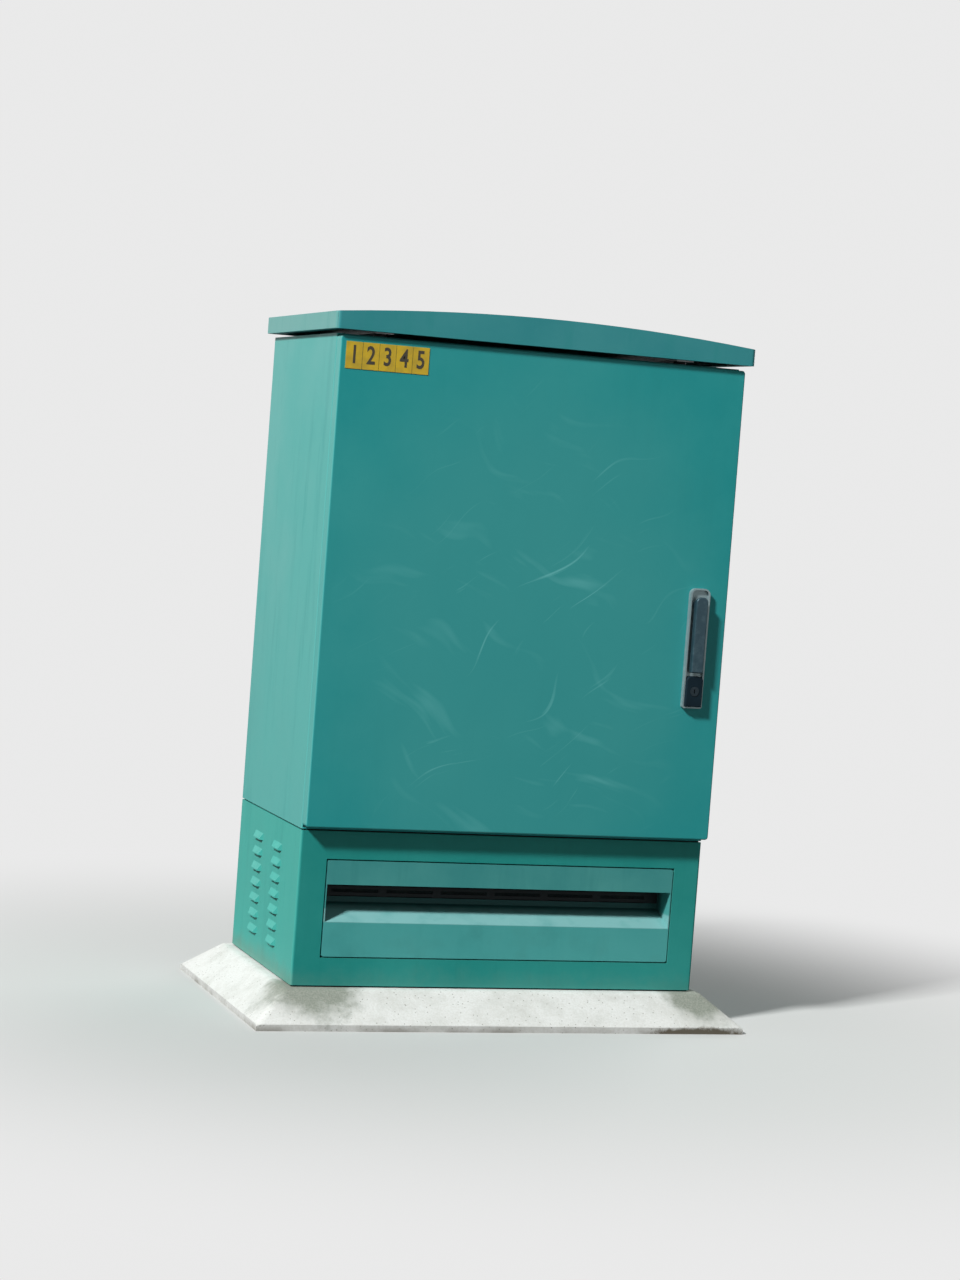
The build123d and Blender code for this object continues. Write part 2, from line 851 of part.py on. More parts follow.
export_step(roof.part, "parts/roof.step")

# Channels under the arch that carry the roof on its spacers
rail_outer = rail_x + rail_width / 2
rail_length = 2 * (spacer_spacing + spacer_radius + rail_overrun)
rail_crown = arch_height(rail_outer, sheet)
with BuildPart() as roof_rails:
    for side in (-1, 1):
        with BuildSketch(at_y(-rail_length / 2)):
            with Locations((side * rail_x, (roof_bottom + rail_crown) / 2)):
                Rectangle(rail_width, rail_crown - roof_bottom)
                with Locations((0, sheet)):
                    Rectangle(rail_width - 2 * sheet, rail_crown - roof_bottom, mode=Mode.SUBTRACT)
        extrude(amount=-rail_length)
    with BuildSketch(Plane.XY.offset(roof_bottom)):
        with roof_bolt_places():
            Circle(roof_bolt_radius + screw_clearance)
    extrude(amount=sheet, mode=Mode.SUBTRACT)
roof_rails.part.label = "roof_rails"
export_step(roof_rails.part, "parts/roof_rails.step")

with BuildPart() as roof_spacers:
    with BuildSketch(Plane.XY.offset(body_top)):
        with roof_bolt_places():
            Circle(spacer_radius)
            Circle(roof_bolt_radius + screw_clearance, mode=Mode.SUBTRACT)
    extrude(amount=roof_gap)
roof_spacers.part.label = "roof_spacers"
export_step(roof_spacers.part, "parts/roof_spacers.step")

# Roof bolts, from inside the body up through the spacers into the rails
with BuildPart() as roof_bolts:
    with BuildSketch(Plane.XY.offset(body_top - sheet)):
        with roof_bolt_places():
            RegularPolygon(2 * roof_bolt_radius, hex_sides)
    extrude(amount=-roof_bolt_radius)
    with BuildSketch(Plane.XY.offset(body_top - sheet)):
        with roof_bolt_places():
            Circle(roof_bolt_radius)
    extrude(amount=sheet + roof_gap + 4 * sheet)
roof_bolts.part.label = "roof_bolts"
export_step(roof_bolts.part, "parts/roof_bolts.step")

# Hinge brackets on the gutter: a knuckle carried by a swan-neck arm that the door's edge swings round
hinge_places = [(0, 0, hinge_z + step * hinge_spacing) for step in (-1, 0, 1)]
knuckle_height = hinge_height - 2 * (ear_thickness + turn_gap)
arm_outer = hinge_x + arm_reach
with BuildPart() as hinge_brackets:
    for place in hinge_places:
        with BuildSketch(Plane(origin=(0, 0, place[2] - knuckle_height / 2))):
            with Locations((hinge_x, hinge_y)):
                Circle(knuckle_radius)
            with Locations(((hinge_x + arm_outer) / 2, hinge_y)):
                Rectangle(arm_reach, arm_thickness)
            with BuildLine():
                Polyline(
                    (arm_outer - arm_thickness, hinge_y + arm_thickness / 2),
                    (arm_outer - arm_thickness, gutter - arm_thickness / 2),
                    (arm_outer - hinge_foot, gutter - arm_thickness / 2),
                    (arm_outer - hinge_foot, gutter),
                    (arm_outer, gutter),
                    (arm_outer, hinge_y - arm_thickness / 2),
                    (arm_outer - arm_thickness, hinge_y - arm_thickness / 2),
                    close=True,
                )
            make_face()
            with Locations((hinge_x, hinge_y)):
                Circle(pin_radius, mode=Mode.SUBTRACT)
        extrude(amount=knuckle_height)
hinge_brackets.part.label = "hinge_brackets"
export_step(hinge_brackets.part, "parts/hinge_brackets.step")

with BuildPart() as hinge_pins:
    for place in hinge_places:
        with BuildSketch(Plane(origin=(0, 0, place[2] - hinge_height / 2 - ear_thickness))):
            with Locations((hinge_x, hinge_y)):
                Circle(pin_radius)
        extrude(amount=hinge_height + 2 * ear_thickness)
hinge_pins.part.label = "hinge_pins"
export_step(hinge_pins.part, "parts/hinge_pins.step")

# Hinge leaves on the door's return: a plate with two ears that turn on the pin
leaf_x = -width / 2 + thin_sheet
with BuildPart() as door_hinges:
    for place in hinge_places:
        with BuildSketch(Plane(origin=(0, 0, place[2] - hinge_height / 2))):
            with Locations((leaf_x + hinge_plate / 2, hinge_y)):
                Rectangle(hinge_plate, 2 * knuckle_radius)
        extrude(amount=hinge_height)
        for ear_bottom in (place[2] - hinge_height / 2, place[2] + hinge_height / 2 - ear_thickness):
            with BuildSketch(Plane(origin=(0, 0, ear_bottom))):
                with Locations((hinge_x, hinge_y)):
                    Circle(knuckle_radius)
                with Locations(((leaf_x + hinge_x) / 2, hinge_y)):
                    Rectangle(hinge_x - leaf_x, 2 * knuckle_radius)
                with Locations((hinge_x, hinge_y)):
                    Circle(pin_radius + pin_clearance, mode=Mode.SUBTRACT)
            extrude(amount=ear_thickness)
door_hinges.part.label = "door_hinges"
export_step(door_hinges.part, "parts/door_hinges.step")

# Door: a pan with a folded rim, drilled for the handle and the lock
with BuildPart() as door_shell:
    with BuildSketch(at_y(door_back)):
        with Locations((0, (door_bottom + door_top) / 2)):
            RectangleRounded(width, door_height, door_corner)
    extrude(amount=door_back - door_face)
    fillet(door_shell.faces().sort_by(Axis.Y)[0].edges(), radius=door_fold)
    with BuildSketch(at_y(door_back)):
        with Locations((0, (door_bottom + door_top) / 2)):
            Rectangle(width - 2 * thin_sheet, door_height - 2 * thin_sheet)
    extrude(amount=door_back - door_inner, mode=Mode.SUBTRACT)
    with BuildSketch(at_y(door_inner)):
        with Locations((handle_x, spindle_z)):
            Circle(spindle_radius + spindle_hole_gap)
        with Locations((handle_x, lock_z)):
            Circle(lock_radius + lock_hole_gap)
    extrude(amount=thin_sheet, mode=Mode.SUBTRACT)
door_shell.part.label = "door_shell"
export_step(door_shell.part, "parts/door_shell.step")


def stiffener(x):
    """A hat channel down the inside of the door."""
    half = stiffener_width / 2
    bar = folded_bar(
        Plane.XY.offset(hinge_z - stiffener_length / 2),
        [
            (x - half - stiffener_flange, door_inner),
            (x - half, door_inner),
            (x - half, door_inner + stiffener_depth - thin_sheet),
            (x + half, door_inner + stiffener_depth - thin_sheet),
            (x + half, door_inner),
            (x + half + stiffener_flange, door_inner),
        ],
        thin_sheet,
        stiffener_length,
    )
    return bar


door_stiffener_left = stiffener(stiffener_left_x)
door_stiffener_left.label = "door_stiffener_left"
export_step(door_stiffener_left, "parts/door_stiffener_left.step")

door_stiffener_right = stiffener(stiffener_right_x)
door_stiffener_right.label = "door_stiffener_right"
export_step(door_stiffener_right, "parts/door_stiffener_right.step")

# Foam seal on the door, opposite the lip of the doorway
with BuildPart() as door_seal:
    with BuildSketch(at_y(lip_y - seal_gap)):
        with Locations(lip_centre):
            Rectangle(lip_width - sheet + seal_width, lip_height - sheet + seal_width)
            Rectangle(lip_width - sheet - seal_width, lip_height - sheet - seal_width, mode=Mode.SUBTRACT)
    extrude(amount=lip_y - seal_gap - door_inner)
door_seal.part.label = "door_seal"
export_step(door_seal.part, "parts/door_seal.step")

# Swing-handle dish: a plate with a raised rim, rounder at the top
dish_centre_z = handle_bottom + handle_height / 2
with BuildPart() as handle_dish:
    for plane, inset, depth_in, mode in (
        (at_y(door_face), 0, dish_rim, Mode.ADD),
        (at_y(dish_front), dish_wall, dish_rim - dish_plate, Mode.SUBTRACT),
    ):
        with BuildSketch(plane) as dish_outline:
            with Locations((handle_x, dish_centre_z)):
                Rectangle(handle_width - 2 * inset, handle_height - 2 * inset)
            corners = dish_outline.vertices().group_by(Axis.Y)
            fillet(corners[-1], radius=dish_top_corner - inset)
            fillet(dish_outline.vertices().group_by(Axis.Y)[0], radius=dish_corner - inset)
        extrude(amount=depth_in, mode=mode)
    with BuildSketch(at_y(door_face)):
        with Locations((handle_x, spindle_z)):
            Circle(spindle_radius + turn_gap)
        with Locations((handle_x, lock_z)):
            Circle(lock_radius + turn_gap)
    extrude(amount=dish_plate, mode=Mode.SUBTRACT)
handle_dish.part.label = "handle_dish"
export_step(handle_dish.part, "parts/handle_dish.step")

# Lock housing in the foot of the dish, with a rounded top and a softened face
housing_width = handle_width - 2 * (dish_wall + housing_gap)
with BuildPart() as lock_housing:
    with BuildSketch(at_y(dish_front)):
        with Locations((handle_x, handle_bottom + dish_wall + housing_gap + lock_block_height / 2)):
            Rectangle(housing_width, lock_block_height)
    extrude(amount=lock_block_proud - dish_plate)
    corners = lock_housing.edges().filter_by(Axis.Y).group_by(Axis.Z)
    fillet(corners[-1], radius=lock_block_corner)
    fillet(corners[0], radius=dish_corner - dish_wall)
    fillet(lock_housing.faces().sort_by(Axis.Y)[0].edges(), radius=lock_block_edge)
    with BuildSketch(at_y(dish_front)):
        with Locations((handle_x, lock_z)):
            Circle(lock_radius + turn_gap)
    extrude(amount=lock_block_proud, mode=Mode.SUBTRACT)
lock_housing.part.label = "lock_housing"
export_step(lock_housing.part, "parts/lock_housing.step")

# Lock core with a keyway and a short cam behind the door
with BuildPart() as lock_core:
    with BuildSketch(at_y(door_inner + lock_tail)):
        with Locations((handle_x, lock_z)):
            Circle(lock_radius)
    extrude(amount=door_inner + lock_tail - door_face + lock_block_proud + core_proud)
    with BuildSketch(at_y(door_face - lock_block_proud - core_proud)):
        with Locations((handle_x, lock_z)):
            Rectangle(keyway_width, keyway_height)
    extrude(amount=-keyway_depth, mode=Mode.SUBTRACT)
    with BuildSketch(at_y(door_inner + lock_tail)):
        with Locations((handle_x, lock_z + lock_cam_reach / 4)):
            Rectangle(lock_cam_width, lock_cam_reach)
    extrude(amount=lock_cam_thickness)
lock_core.part.label = "lock_core"
export_step(lock_core.part, "parts/lock_core.step")

# Rotor that carries the lever: a flange on the dish, a tongue in front and the spindle behind
with BuildPart() as handle_rotor:
    with BuildSketch(at_y(dish_front - turn_gap)):
        with Locations((handle_x, spindle_z)):
            Circle(rotor_flange_radius)
    extrude(amount=rotor_flange)
    with BuildSketch(Plane.YZ.offset(handle_x - tongue_width / 2)):
        with BuildLine():
            Polyline(
                (dish_front - turn_gap - rotor_flange, spindle_z - tongue_height / 2),
                (lever_pin_y, spindle_z - tongue_radius),
                (lever_pin_y, spindle_z + tongue_radius),
                (dish_front - turn_gap - rotor_flange, spindle_z + tongue_height / 2),
                close=True,
            )
        make_face()
        with Locations((lever_pin_y, spindle_z)):
            Circle(tongue_radius)
            Circle(lever_pin_radius, mode=Mode.SUBTRACT)
    extrude(amount=tongue_width)
    with BuildSketch(at_y(dish_front - turn_gap)):
        with Locations((handle_x, spindle_z)):
            Circle(spindle_radius)
    extrude(amount=-(gear_front - dish_front + turn_gap))
    with BuildSketch(at_y(gear_front)):
        with Locations((handle_x, spindle_z)):
            Rectangle(square_size, square_size)
    extrude(amount=-pinion_width)
    with BuildSketch(at_y(gear_front + pinion_width)):
        with Locations((handle_x, spindle_z)):
            Circle(square_size / 2)
    extrude(amount=-(case_back - gear_front - pinion_width))
handle_rotor.part.label = "handle_rotor"
export_step(handle_rotor.part, "parts/handle_rotor.step")

with BuildPart() as lever_pin:
    with BuildSketch(Plane.YZ.offset(handle_x - lever_width / 2 + lever_pin_cap)):
        with Locations((lever_pin_y, spindle_z)):
            Circle(lever_pin_radius)
    extrude(amount=lever_width - 2 * lever_pin_cap)
lever_pin.part.label = "lever_pin"
export_step(lever_pin.part, "parts/lever_pin.step")

# Lever: a long bar with a rounded head and a heel cut at the lift angle
heel_slope = math.tan(math.radians(lift_angle))
heel_start = lever_pin_depth * math.tan(math.radians(lift_angle / 2))
with BuildPart() as swing_lever:
    with BuildSketch(at_y(lever_back)):
        with Locations((handle_x, spindle_z + (lever_top - lever_reach) / 2)):
            Rectangle(lever_width, lever_top + lever_reach)
    extrude(amount=lever_thickness)
    head_edges = swing_lever.edges().filter_by(Axis.Y).group_by(Axis.Z)
    fillet(head_edges[-1], radius=lever_head_radius)
    fillet(head_edges[0], radius=lever_edge)
    with BuildSketch(Plane.YZ.offset(handle_x - lever_width)):
        Polygon(
            (lever_back, spindle_z + heel_start),
            (lever_back, spindle_z + lever_top + 1),
            (lever_back - (lever_top + 1 - heel_start) * heel_slope, spindle_z + lever_top + 1),
        )
    extrude(amount=2 * lever_width, mode=Mode.SUBTRACT)
    fillet(swing_lever.faces().sort_by(Axis.Y)[0].edges(), radius=lever_edge)
    with BuildSketch(Plane.YZ.offset(handle_x - tongue_width / 2 - turn_gap)):
        with Locations(((lever_back + lever_pin_y - tongue_swing) / 2, spindle_z)):
            Rectangle(lever_pin_depth + tongue_swing, 1.5 * tongue_height)
        with Locations((lever_pin_y, spindle_z)):
            Circle(tongue_radius + turn_gap)
    extrude(amount=tongue_width + 2 * turn_gap, mode=Mode.SUBTRACT)
    with BuildSketch(Plane.YZ.offset(handle_x - lever_width / 2 + lever_pin_cap - turn_gap)):
        with Locations((lever_pin_y, spindle_z)):
            Circle(lever_pin_radius + pin_clearance)
    extrude(amount=lever_width - 2 * lever_pin_cap + 2 * turn_gap, mode=Mode.SUBTRACT)
swing_lever.part.label = "swing_lever"
export_step(swing_lever.part, "parts/swing_lever.step")

# Latch gear: an involute pinion on the spindle's square, with a rack on each rod
tip_radius = gear_radius + gear_addendum
root_radius = gear_radius - gear_dedendum
involute_base = gear_radius * math.cos(math.radians(pressure_angle))


def involute_point(radius, side):
    """A point of a tooth flank at a radius, on one side of the tooth that points along +X."""
    roll = math.sqrt(max((radius / involute_base) ** 2 - 1, 0))
    pitch_roll = math.tan(math.radians(pressure_angle))
    half_tooth = (math.pi * gear_module / 2 - gear_backlash / 2) / 2 / gear_radius
    angle = half_tooth - (roll - math.atan(roll)) + (pitch_roll - math.atan(pitch_roll))
    return (radius * math.cos(angle), side * radius * math.sin(angle))


flank_radii = [max(involute_base, root_radius), gear_radius - gear_addendum / 2, gear_radius, tip_radius]
with BuildPart() as latch_pinion:
    with BuildSketch(Plane(origin=(handle_x, gear_front, spindle_z), x_dir=(1, 0, 0), z_dir=(0, -1, 0))):
        Circle(root_radius)
        with PolarLocations(0, pinion_teeth):
            with BuildSketch(mode=Mode.PRIVATE) as tooth:
                with BuildLine():
                    right_flank = Polyline(*[involute_point(radius, 1) for radius in flank_radii])
                    left_flank = Polyline(*[involute_point(radius, -1) for radius in flank_radii])
                    Line(right_flank @ 1, left_flank @ 1)
                    Line(right_flank @ 0, (root_radius - 1, (right_flank @ 0).Y))
                    Line(left_flank @ 0, (root_radius - 1, (left_flank @ 0).Y))
                    Line((root_radius - 1, (right_flank @ 0).Y), (root_radius - 1, (left_flank @ 0).Y))
                make_face()
            add(tooth.sketch)
        Rectangle(square_size, square_size, mode=Mode.SUBTRACT)
    extrude(amount=-pinion_width)
latch_pinion.part.label = "latch_pinion"
export_step(latch_pinion.part, "parts/latch_pinion.step")


def latch_rod(rod_x, gear_side, low, high, rack_low, rack_high, tip):
    """A flat rod with rack teeth on the side that faces the pinion and a tapered tip."""
    pitch = math.pi * gear_module
    lean = math.tan(math.radians(pressure_angle))
    half_pitch_tooth = (pitch / 2 - gear_backlash / 2) / 2
    root_x = rod_x + gear_side * rod_width / 2
    tip_x = root_x + gear_side * (gear_dedendum + gear_addendum)
    half_root = half_pitch_tooth + gear_dedendum * lean
    half_tip = half_pitch_tooth - gear_addendum * lean
    with BuildPart() as rod:
        with BuildSketch(at_y(gear_front + pinion_width - (pinion_width - rod_thickness) / 2)):
            with Locations((rod_x, (low + high) / 2)):
                Rectangle(rod_width, high - low)
            first = math.ceil((rack_low - spindle_z) / pitch - 0.5)
            last = math.floor((rack_high - spindle_z) / pitch - 0.5)
            for index in range(first, last + 1):
                tooth_z = spindle_z + (index + 0.5) * pitch
                Polygon(
                    (root_x, tooth_z - half_root),
                    (tip_x, tooth_z - half_tip),
                    (tip_x, tooth_z + half_tip),
                    (root_x, tooth_z + half_root),
                )
        extrude(amount=rod_thickness)
        tip_edges = rod.edges().filter_by(Axis.Y).group_by(Axis.Z)
        chamfer(tip_edges[tip], length=2)
    rod.part.label = "rod"
    return rod.part


upper_rod = latch_rod(
    upper_rod_x,
    -1,
    spindle_z - rack_margin,
    keeper_edge_top - rod_end_gap,
    spindle_z - rack_margin,
    spindle_z + rack_margin + rod_travel,
    -1,
)
upper_rod.label = "upper_rod"
export_step(upper_rod, "parts/upper_rod.step")

lower_rod = latch_rod(
    lower_rod_x,
    1,
    keeper_edge_bottom + rod_end_gap,
    spindle_z + rack_margin,
    spindle_z - rack_margin - rod_travel,
    spindle_z + rack_margin,
    0,
)
lower_rod.label = "lower_rod"
export_step(lower_rod, "parts/lower_rod.step")

# Latch case: a pressed hat bracket that bears the end of the spindle and lets the rods through its ends
case_top = spindle_z + case_height / 2
case_low = spindle_z - case_height / 2
case_outline = [
    (door_inner, case_top + case_foot),
    (door_inner, case_top),
    (case_back - thin_sheet, case_top),
    (case_back - thin_sheet, case_low),
    (door_inner, case_low),
    (door_inner, case_low - case_foot),
]
channel_width = rod_width + 2 * slide_clearance
channel_depth = rod_thickness + 2 * slide_clearance
with BuildPart() as latch_case:
    add(folded_bar(Plane.YZ.offset(handle_x - case_width / 2), case_outline, thin_sheet, case_width))
    with BuildSketch(at_y(case_back)):
        with Locations((handle_x, spindle_z)):
            Circle(square_size / 2 + pin_clearance)
    extrude(amount=thin_sheet, mode=Mode.SUBTRACT)
    rod_y = gear_front + pinion_width / 2
    for rod_x, wall_z in ((upper_rod_x, case_top), (lower_rod_x, case_low - thin_sheet)):
        with BuildSketch(Plane.XY.offset(wall_z)):
            with Locations((rod_x, rod_y)):
                Rectangle(channel_width, channel_depth)
        extrude(amount=thin_sheet, mode=Mode.SUBTRACT)
latch_case.part.label = "latch_case"
export_step(latch_case.part, "parts/latch_case.step")

# Plastic guides that hold the rods against the door
guide_places = [
    (upper_rod_x, spindle_z + guide_near),
    (upper_rod_x, lip_top - guide_inset),
    (lower_rod_x, spindle_z - guide_near),
    (lower_rod_x, lip_bottom + guide_inset),
]
with BuildPart() as rod_guides:
    for rod_x, guide_z in guide_places:
        with BuildSketch(Plane.XY.offset(guide_z)):
            with Locations((rod_x, door_inner + guide_depth / 2)):
                Rectangle(guide_width, guide_depth)
            with Locations((rod_x, rod_y)):
                Rectangle(channel_width, channel_depth, mode=Mode.SUBTRACT)
        extrude(amount=guide_height)
rod_guides.part.label = "rod_guides"
export_step(rod_guides.part, "parts/rod_guides.step")

# Keepers on the lip of the doorway that the rod ends shoot behind
keeper_y = door_inner + keeper_gap + sheet


def keeper_path(lip_z, side):
    """The fold line of a strap that leaves the lip and hooks in front of the rod's end."""
    path = [
        (lip_y + 2, lip_z),
        (gutter - 4, lip_z),
        (gutter - 4, lip_z + side * keeper_drop),
        (keeper_y, lip_z + side * keeper_drop),
        (keeper_y, lip_z + side * (keeper_drop + keeper_hook)),
    ]
    return path if side > 0 else path[::-1]


with BuildPart() as rod_keepers:
    upper_path = keeper_path(lip_top - sheet, -1)
    add(folded_bar(Plane.YZ.offset(upper_rod_x - keeper_width / 2), upper_path, sheet, keeper_width))
    lower_path = keeper_path(lip_bottom + sheet, 1)
    add(folded_bar(Plane.YZ.offset(lower_rod_x - keeper_width / 2), lower_path, sheet, keeper_width))
rod_keepers.part.label = "rod_keepers"
export_step(rod_keepers.part, "parts/rod_keepers.step")

# Document pocket on the inside of the door, open at the top with a finger dip
pocket_x = (stiffener_left_x + stiffener_right_x) / 2
with BuildPart() as document_pocket:
    with BuildSketch(at_y(door_inner)):
        with Locations((pocket_x, pocket_bottom + pocket_height / 2)):
            Rectangle(pocket_width, pocket_height)
    extrude(amount=-pocket_depth)
    with BuildSketch(at_y(door_inner + thin_sheet)):
        with Locations((pocket_x, pocket_bottom + thin_sheet + pocket_height / 2)):
            Rectangle(pocket_width - 2 * thin_sheet, pocket_height)
    extrude(amount=-(pocket_depth - 2 * thin_sheet), mode=Mode.SUBTRACT)
    with BuildSketch(at_y(door_inner + pocket_depth)):
        with Locations((pocket_x, pocket_bottom + pocket_height)):
            SlotOverall(pocket_notch_width, pocket_notch_height)
    extrude(amount=thin_sheet, mode=Mode.SUBTRACT)
document_pocket.part.label = "document_pocket"
export_step(document_pocket.part, "parts/document_pocket.step")

# Row of number tiles on the door's upper corner
with BuildPart() as number_tiles:
    with BuildSketch(at_y(door_face)):
        for index in range(tile_count):
            with Locations((tile_left + (index + 0.5) * tile_width, tile_centre_z)):
                Rectangle(tile_width - tile_gap, tile_height)
    extrude(amount=tile_thickness)
number_tiles.part.label = "number_tiles"
export_step(number_tiles.part, "parts/number_tiles.step")


def rack_post(side):
    """An angle post with three square holes to each rack unit, its web outside and its flange turned in."""
    web_x = side * (rack_opening / 2 + post_flange)
    flange_x = side * rack_opening / 2
    with BuildPart() as post:
        with BuildSketch(Plane.XY.offset(body_bottom + sheet)):
            with Locations(((web_x + flange_x) / 2, rack_front + post_wall / 2)):
                Rectangle(abs(web_x - flange_x), post_wall)
            with Locations((web_x - side * post_wall / 2, rack_front + post_depth / 2)):
                Rectangle(post_wall, post_depth)
        extrude(amount=body_height - 2 * sheet)
        with BuildSketch(at_y(rack_front + post_wall)):
            for unit in range(1, rack_units + 1):
                with Locations((side * rack_hole_spacing / 2, unit_z(unit))):
                    with GridLocations(0, rack_hole_pitch, 1, 3):
                        Rectangle(rack_square, rack_square)
        extrude(amount=post_wall, mode=Mode.SUBTRACT)
    return post.part


rack_post_left = rack_post(-1)
rack_post_left.label = "rack_post_left"
export_step(rack_post_left, "parts/rack_post_left.step")

rack_post_right = rack_post(1)
rack_post_right.label = "rack_post_right"
export_step(rack_post_right, "parts/rack_post_right.step")

# Recessed frame for the terminal blocks, with ears screwed to the posts
frame_bottom = rack_bottom + (terminal_first_unit - 1) * rack_unit + panel_gap / 2
frame_height = terminal_units * rack_unit - panel_gap
frame_back = rack_front + terminal_recess
ear = rack_opening / 2 - terminal_ear_gap
frame_outline = [
    (-rack_panel_width / 2, rack_front - thin_sheet),
    (-ear, rack_front - thin_sheet),
    (-ear, frame_back),
    (ear, frame_back),
    (ear, rack_front - thin_sheet),
    (rack_panel_width / 2, rack_front - thin_sheet),
]
with BuildPart() as terminal_frame:
    add(folded_bar(Plane.XY.offset(frame_bottom), frame_outline, thin_sheet, frame_height))
    with BuildSketch(at_y(rack_front)):
        for unit in (terminal_first_unit, terminal_first_unit + terminal_units - 1):
            with Locations((0, unit_z(unit))):
                with GridLocations(rack_hole_spacing, 0, 2, 1):
                    Circle(rack_hole_radius)
    extrude(amount=thin_sheet, mode=Mode.SUBTRACT)
terminal_frame.part.label = "terminal_frame"
export_step(terminal_frame.part, "parts/terminal_frame.step")


def terminal_block(x):
    """A moulded block with a ridge for each row of terminals."""
    height = terminal_rows * terminal_pitch
    block_low = frame_bottom + (frame_height - height) / 2
    face = frame_back - terminal_block_depth
    valley = face + terminal_ridge
    outline = [(frame_back, block_low + height), (frame_back, block_low)]
    for row in range(terminal_rows):
        low = block_low + row * terminal_pitch
        outline.append((valley, low))
        outline.append((valley, low + terminal_valley))
        outline.append((face, low + 1.5 * terminal_valley))
        outline.append((face, low + terminal_pitch - terminal_valley / 2))
    outline.append((valley, block_low + height))
    with BuildPart() as block:
        with BuildSketch(Plane.YZ.offset(x - terminal_block_width / 2)):
            with BuildLine():
                Polyline(*outline, close=True)
            make_face()
        extrude(amount=terminal_block_width)
    return block.part


with BuildPart() as terminal_blocks:
    for block_x in (-terminal_spacing, 0, terminal_spacing):
        add(terminal_block(block_x))
terminal_blocks.part.label = "terminal_blocks"
export_step(terminal_blocks.part, "parts/terminal_blocks.step")

# Top-hat rail across the posts
rail_outline = [
    (rail_face, rail_z + rail_height / 2),
    (rail_face, rail_z + rail_height / 2 - rail_flange),
    (rack_front - rail_skin, rail_z + rail_height / 2 - rail_flange),
    (rack_front - rail_skin, rail_z - rail_height / 2 + rail_flange),
    (rail_face, rail_z - rail_height / 2 + rail_flange),
    (rail_face, rail_z - rail_height / 2),
]
with BuildPart() as din_rail:
    add(folded_bar(Plane.YZ.offset(-rack_panel_width / 2), rail_outline, rail_skin, rack_panel_width))
    with BuildSketch(at_y(rack_front)):
        with Locations((0, rail_z)):
            with GridLocations(rack_hole_spacing, 0, 2, 1):
                Circle(rack_hole_radius)
    extrude(amount=rail_skin, mode=Mode.SUBTRACT)
din_rail.part.label = "din_rail"
export_step(din_rail.part, "parts/din_rail.step")


def rail_device(x, device_width):
    """The stepped housing of a rail-mounted device, whose nose stands out in the middle."""
    with BuildPart() as device:
        with BuildSketch(Plane.YZ.offset(x - device_width / 2)):
            with BuildLine():
                Polyline(
                    (rail_face, rail_z - module_height / 2),
                    (module_face, rail_z - module_height / 2),
                    (module_face, rail_z - nose_height / 2),
                    (nose_face, rail_z - nose_height / 2),
                    (nose_face, rail_z + nose_height / 2),
                    (module_face, rail_z + nose_height / 2),
                    (module_face, rail_z + module_height / 2),
                    (rail_face, rail_z + module_height / 2),
                    close=True,
                )
            make_face()
        extrude(amount=device_width)
    return device.part


# Main switch with a turning knob
with BuildPart() as main_switch:
    add(rail_device(switch_x, switch_modules * module_width))
    with BuildSketch(at_y(nose_face)):
        with Locations((switch_x, rail_z)):
            Circle(knob_radius / 3 + turn_gap)
    extrude(amount=-1.2 * knob_stem, mode=Mode.SUBTRACT)
main_switch.part.label = "main_switch"
export_step(main_switch.part, "parts/main_switch.step")

with BuildPart() as main_switch_knob:
    with BuildSketch(at_y(nose_face - turn_gap)):
        with Locations((switch_x, rail_z)):
            Circle(knob_radius)
    extrude(amount=knob_depth / 3)
    with BuildSketch(at_y(nose_face - turn_gap - knob_depth / 3)):
        with Locations((switch_x, rail_z)):
            SlotOverall(1.85 * knob_radius, knob_radius / 2, rotation=90)
    extrude(amount=knob_depth * 2 / 3)
    with BuildSketch(at_y(nose_face - turn_gap)):
        with Locations((switch_x, rail_z)):
            Circle(knob_radius / 3)
    extrude(amount=-knob_stem)
main_switch_knob.part.label = "main_switch_knob"
export_step(main_switch_knob.part, "parts/main_switch_knob.step")

# Breakers and their toggles
for number in range(1, breaker_count + 1):
    breaker_x = switch_x + (switch_modules * module_width + module_width) / 2 + 1 + number * breaker_pitch
    with BuildPart() as breaker:
        add(rail_device(breaker_x, module_width))
        with BuildSketch(Plane.YZ.offset(breaker_x - toggle_slot / 2)):
            with Locations((toggle_y, rail_z)):
                Circle(toggle_radius + turn_gap)
            with Locations((nose_face, rail_z)):
                Rectangle(2 * toggle_radius, toggle_window)
        extrude(amount=toggle_slot, mode=Mode.SUBTRACT)
    breaker.part.label = f"breaker_{number}"
    export_step(breaker.part, f"parts/breaker_{number}.step")
    with BuildPart() as toggle:
        with BuildSketch(Plane.YZ.offset(breaker_x - toggle_slot / 2 + turn_gap)):
            with Locations((toggle_y, rail_z)):
                Circle(toggle_radius)
            with Locations(Location((toggle_y, rail_z, 0), (0, 0, 180 - toggle_angle))):
                with Locations((toggle_reach / 2, 0)):
                    Rectangle(toggle_reach, toggle_thickness)
        extrude(amount=toggle_slot - 2 * turn_gap)
    toggle.part.label = f"breaker_toggle_{number}"
    export_step(toggle.part, f"parts/breaker_toggle_{number}.step")

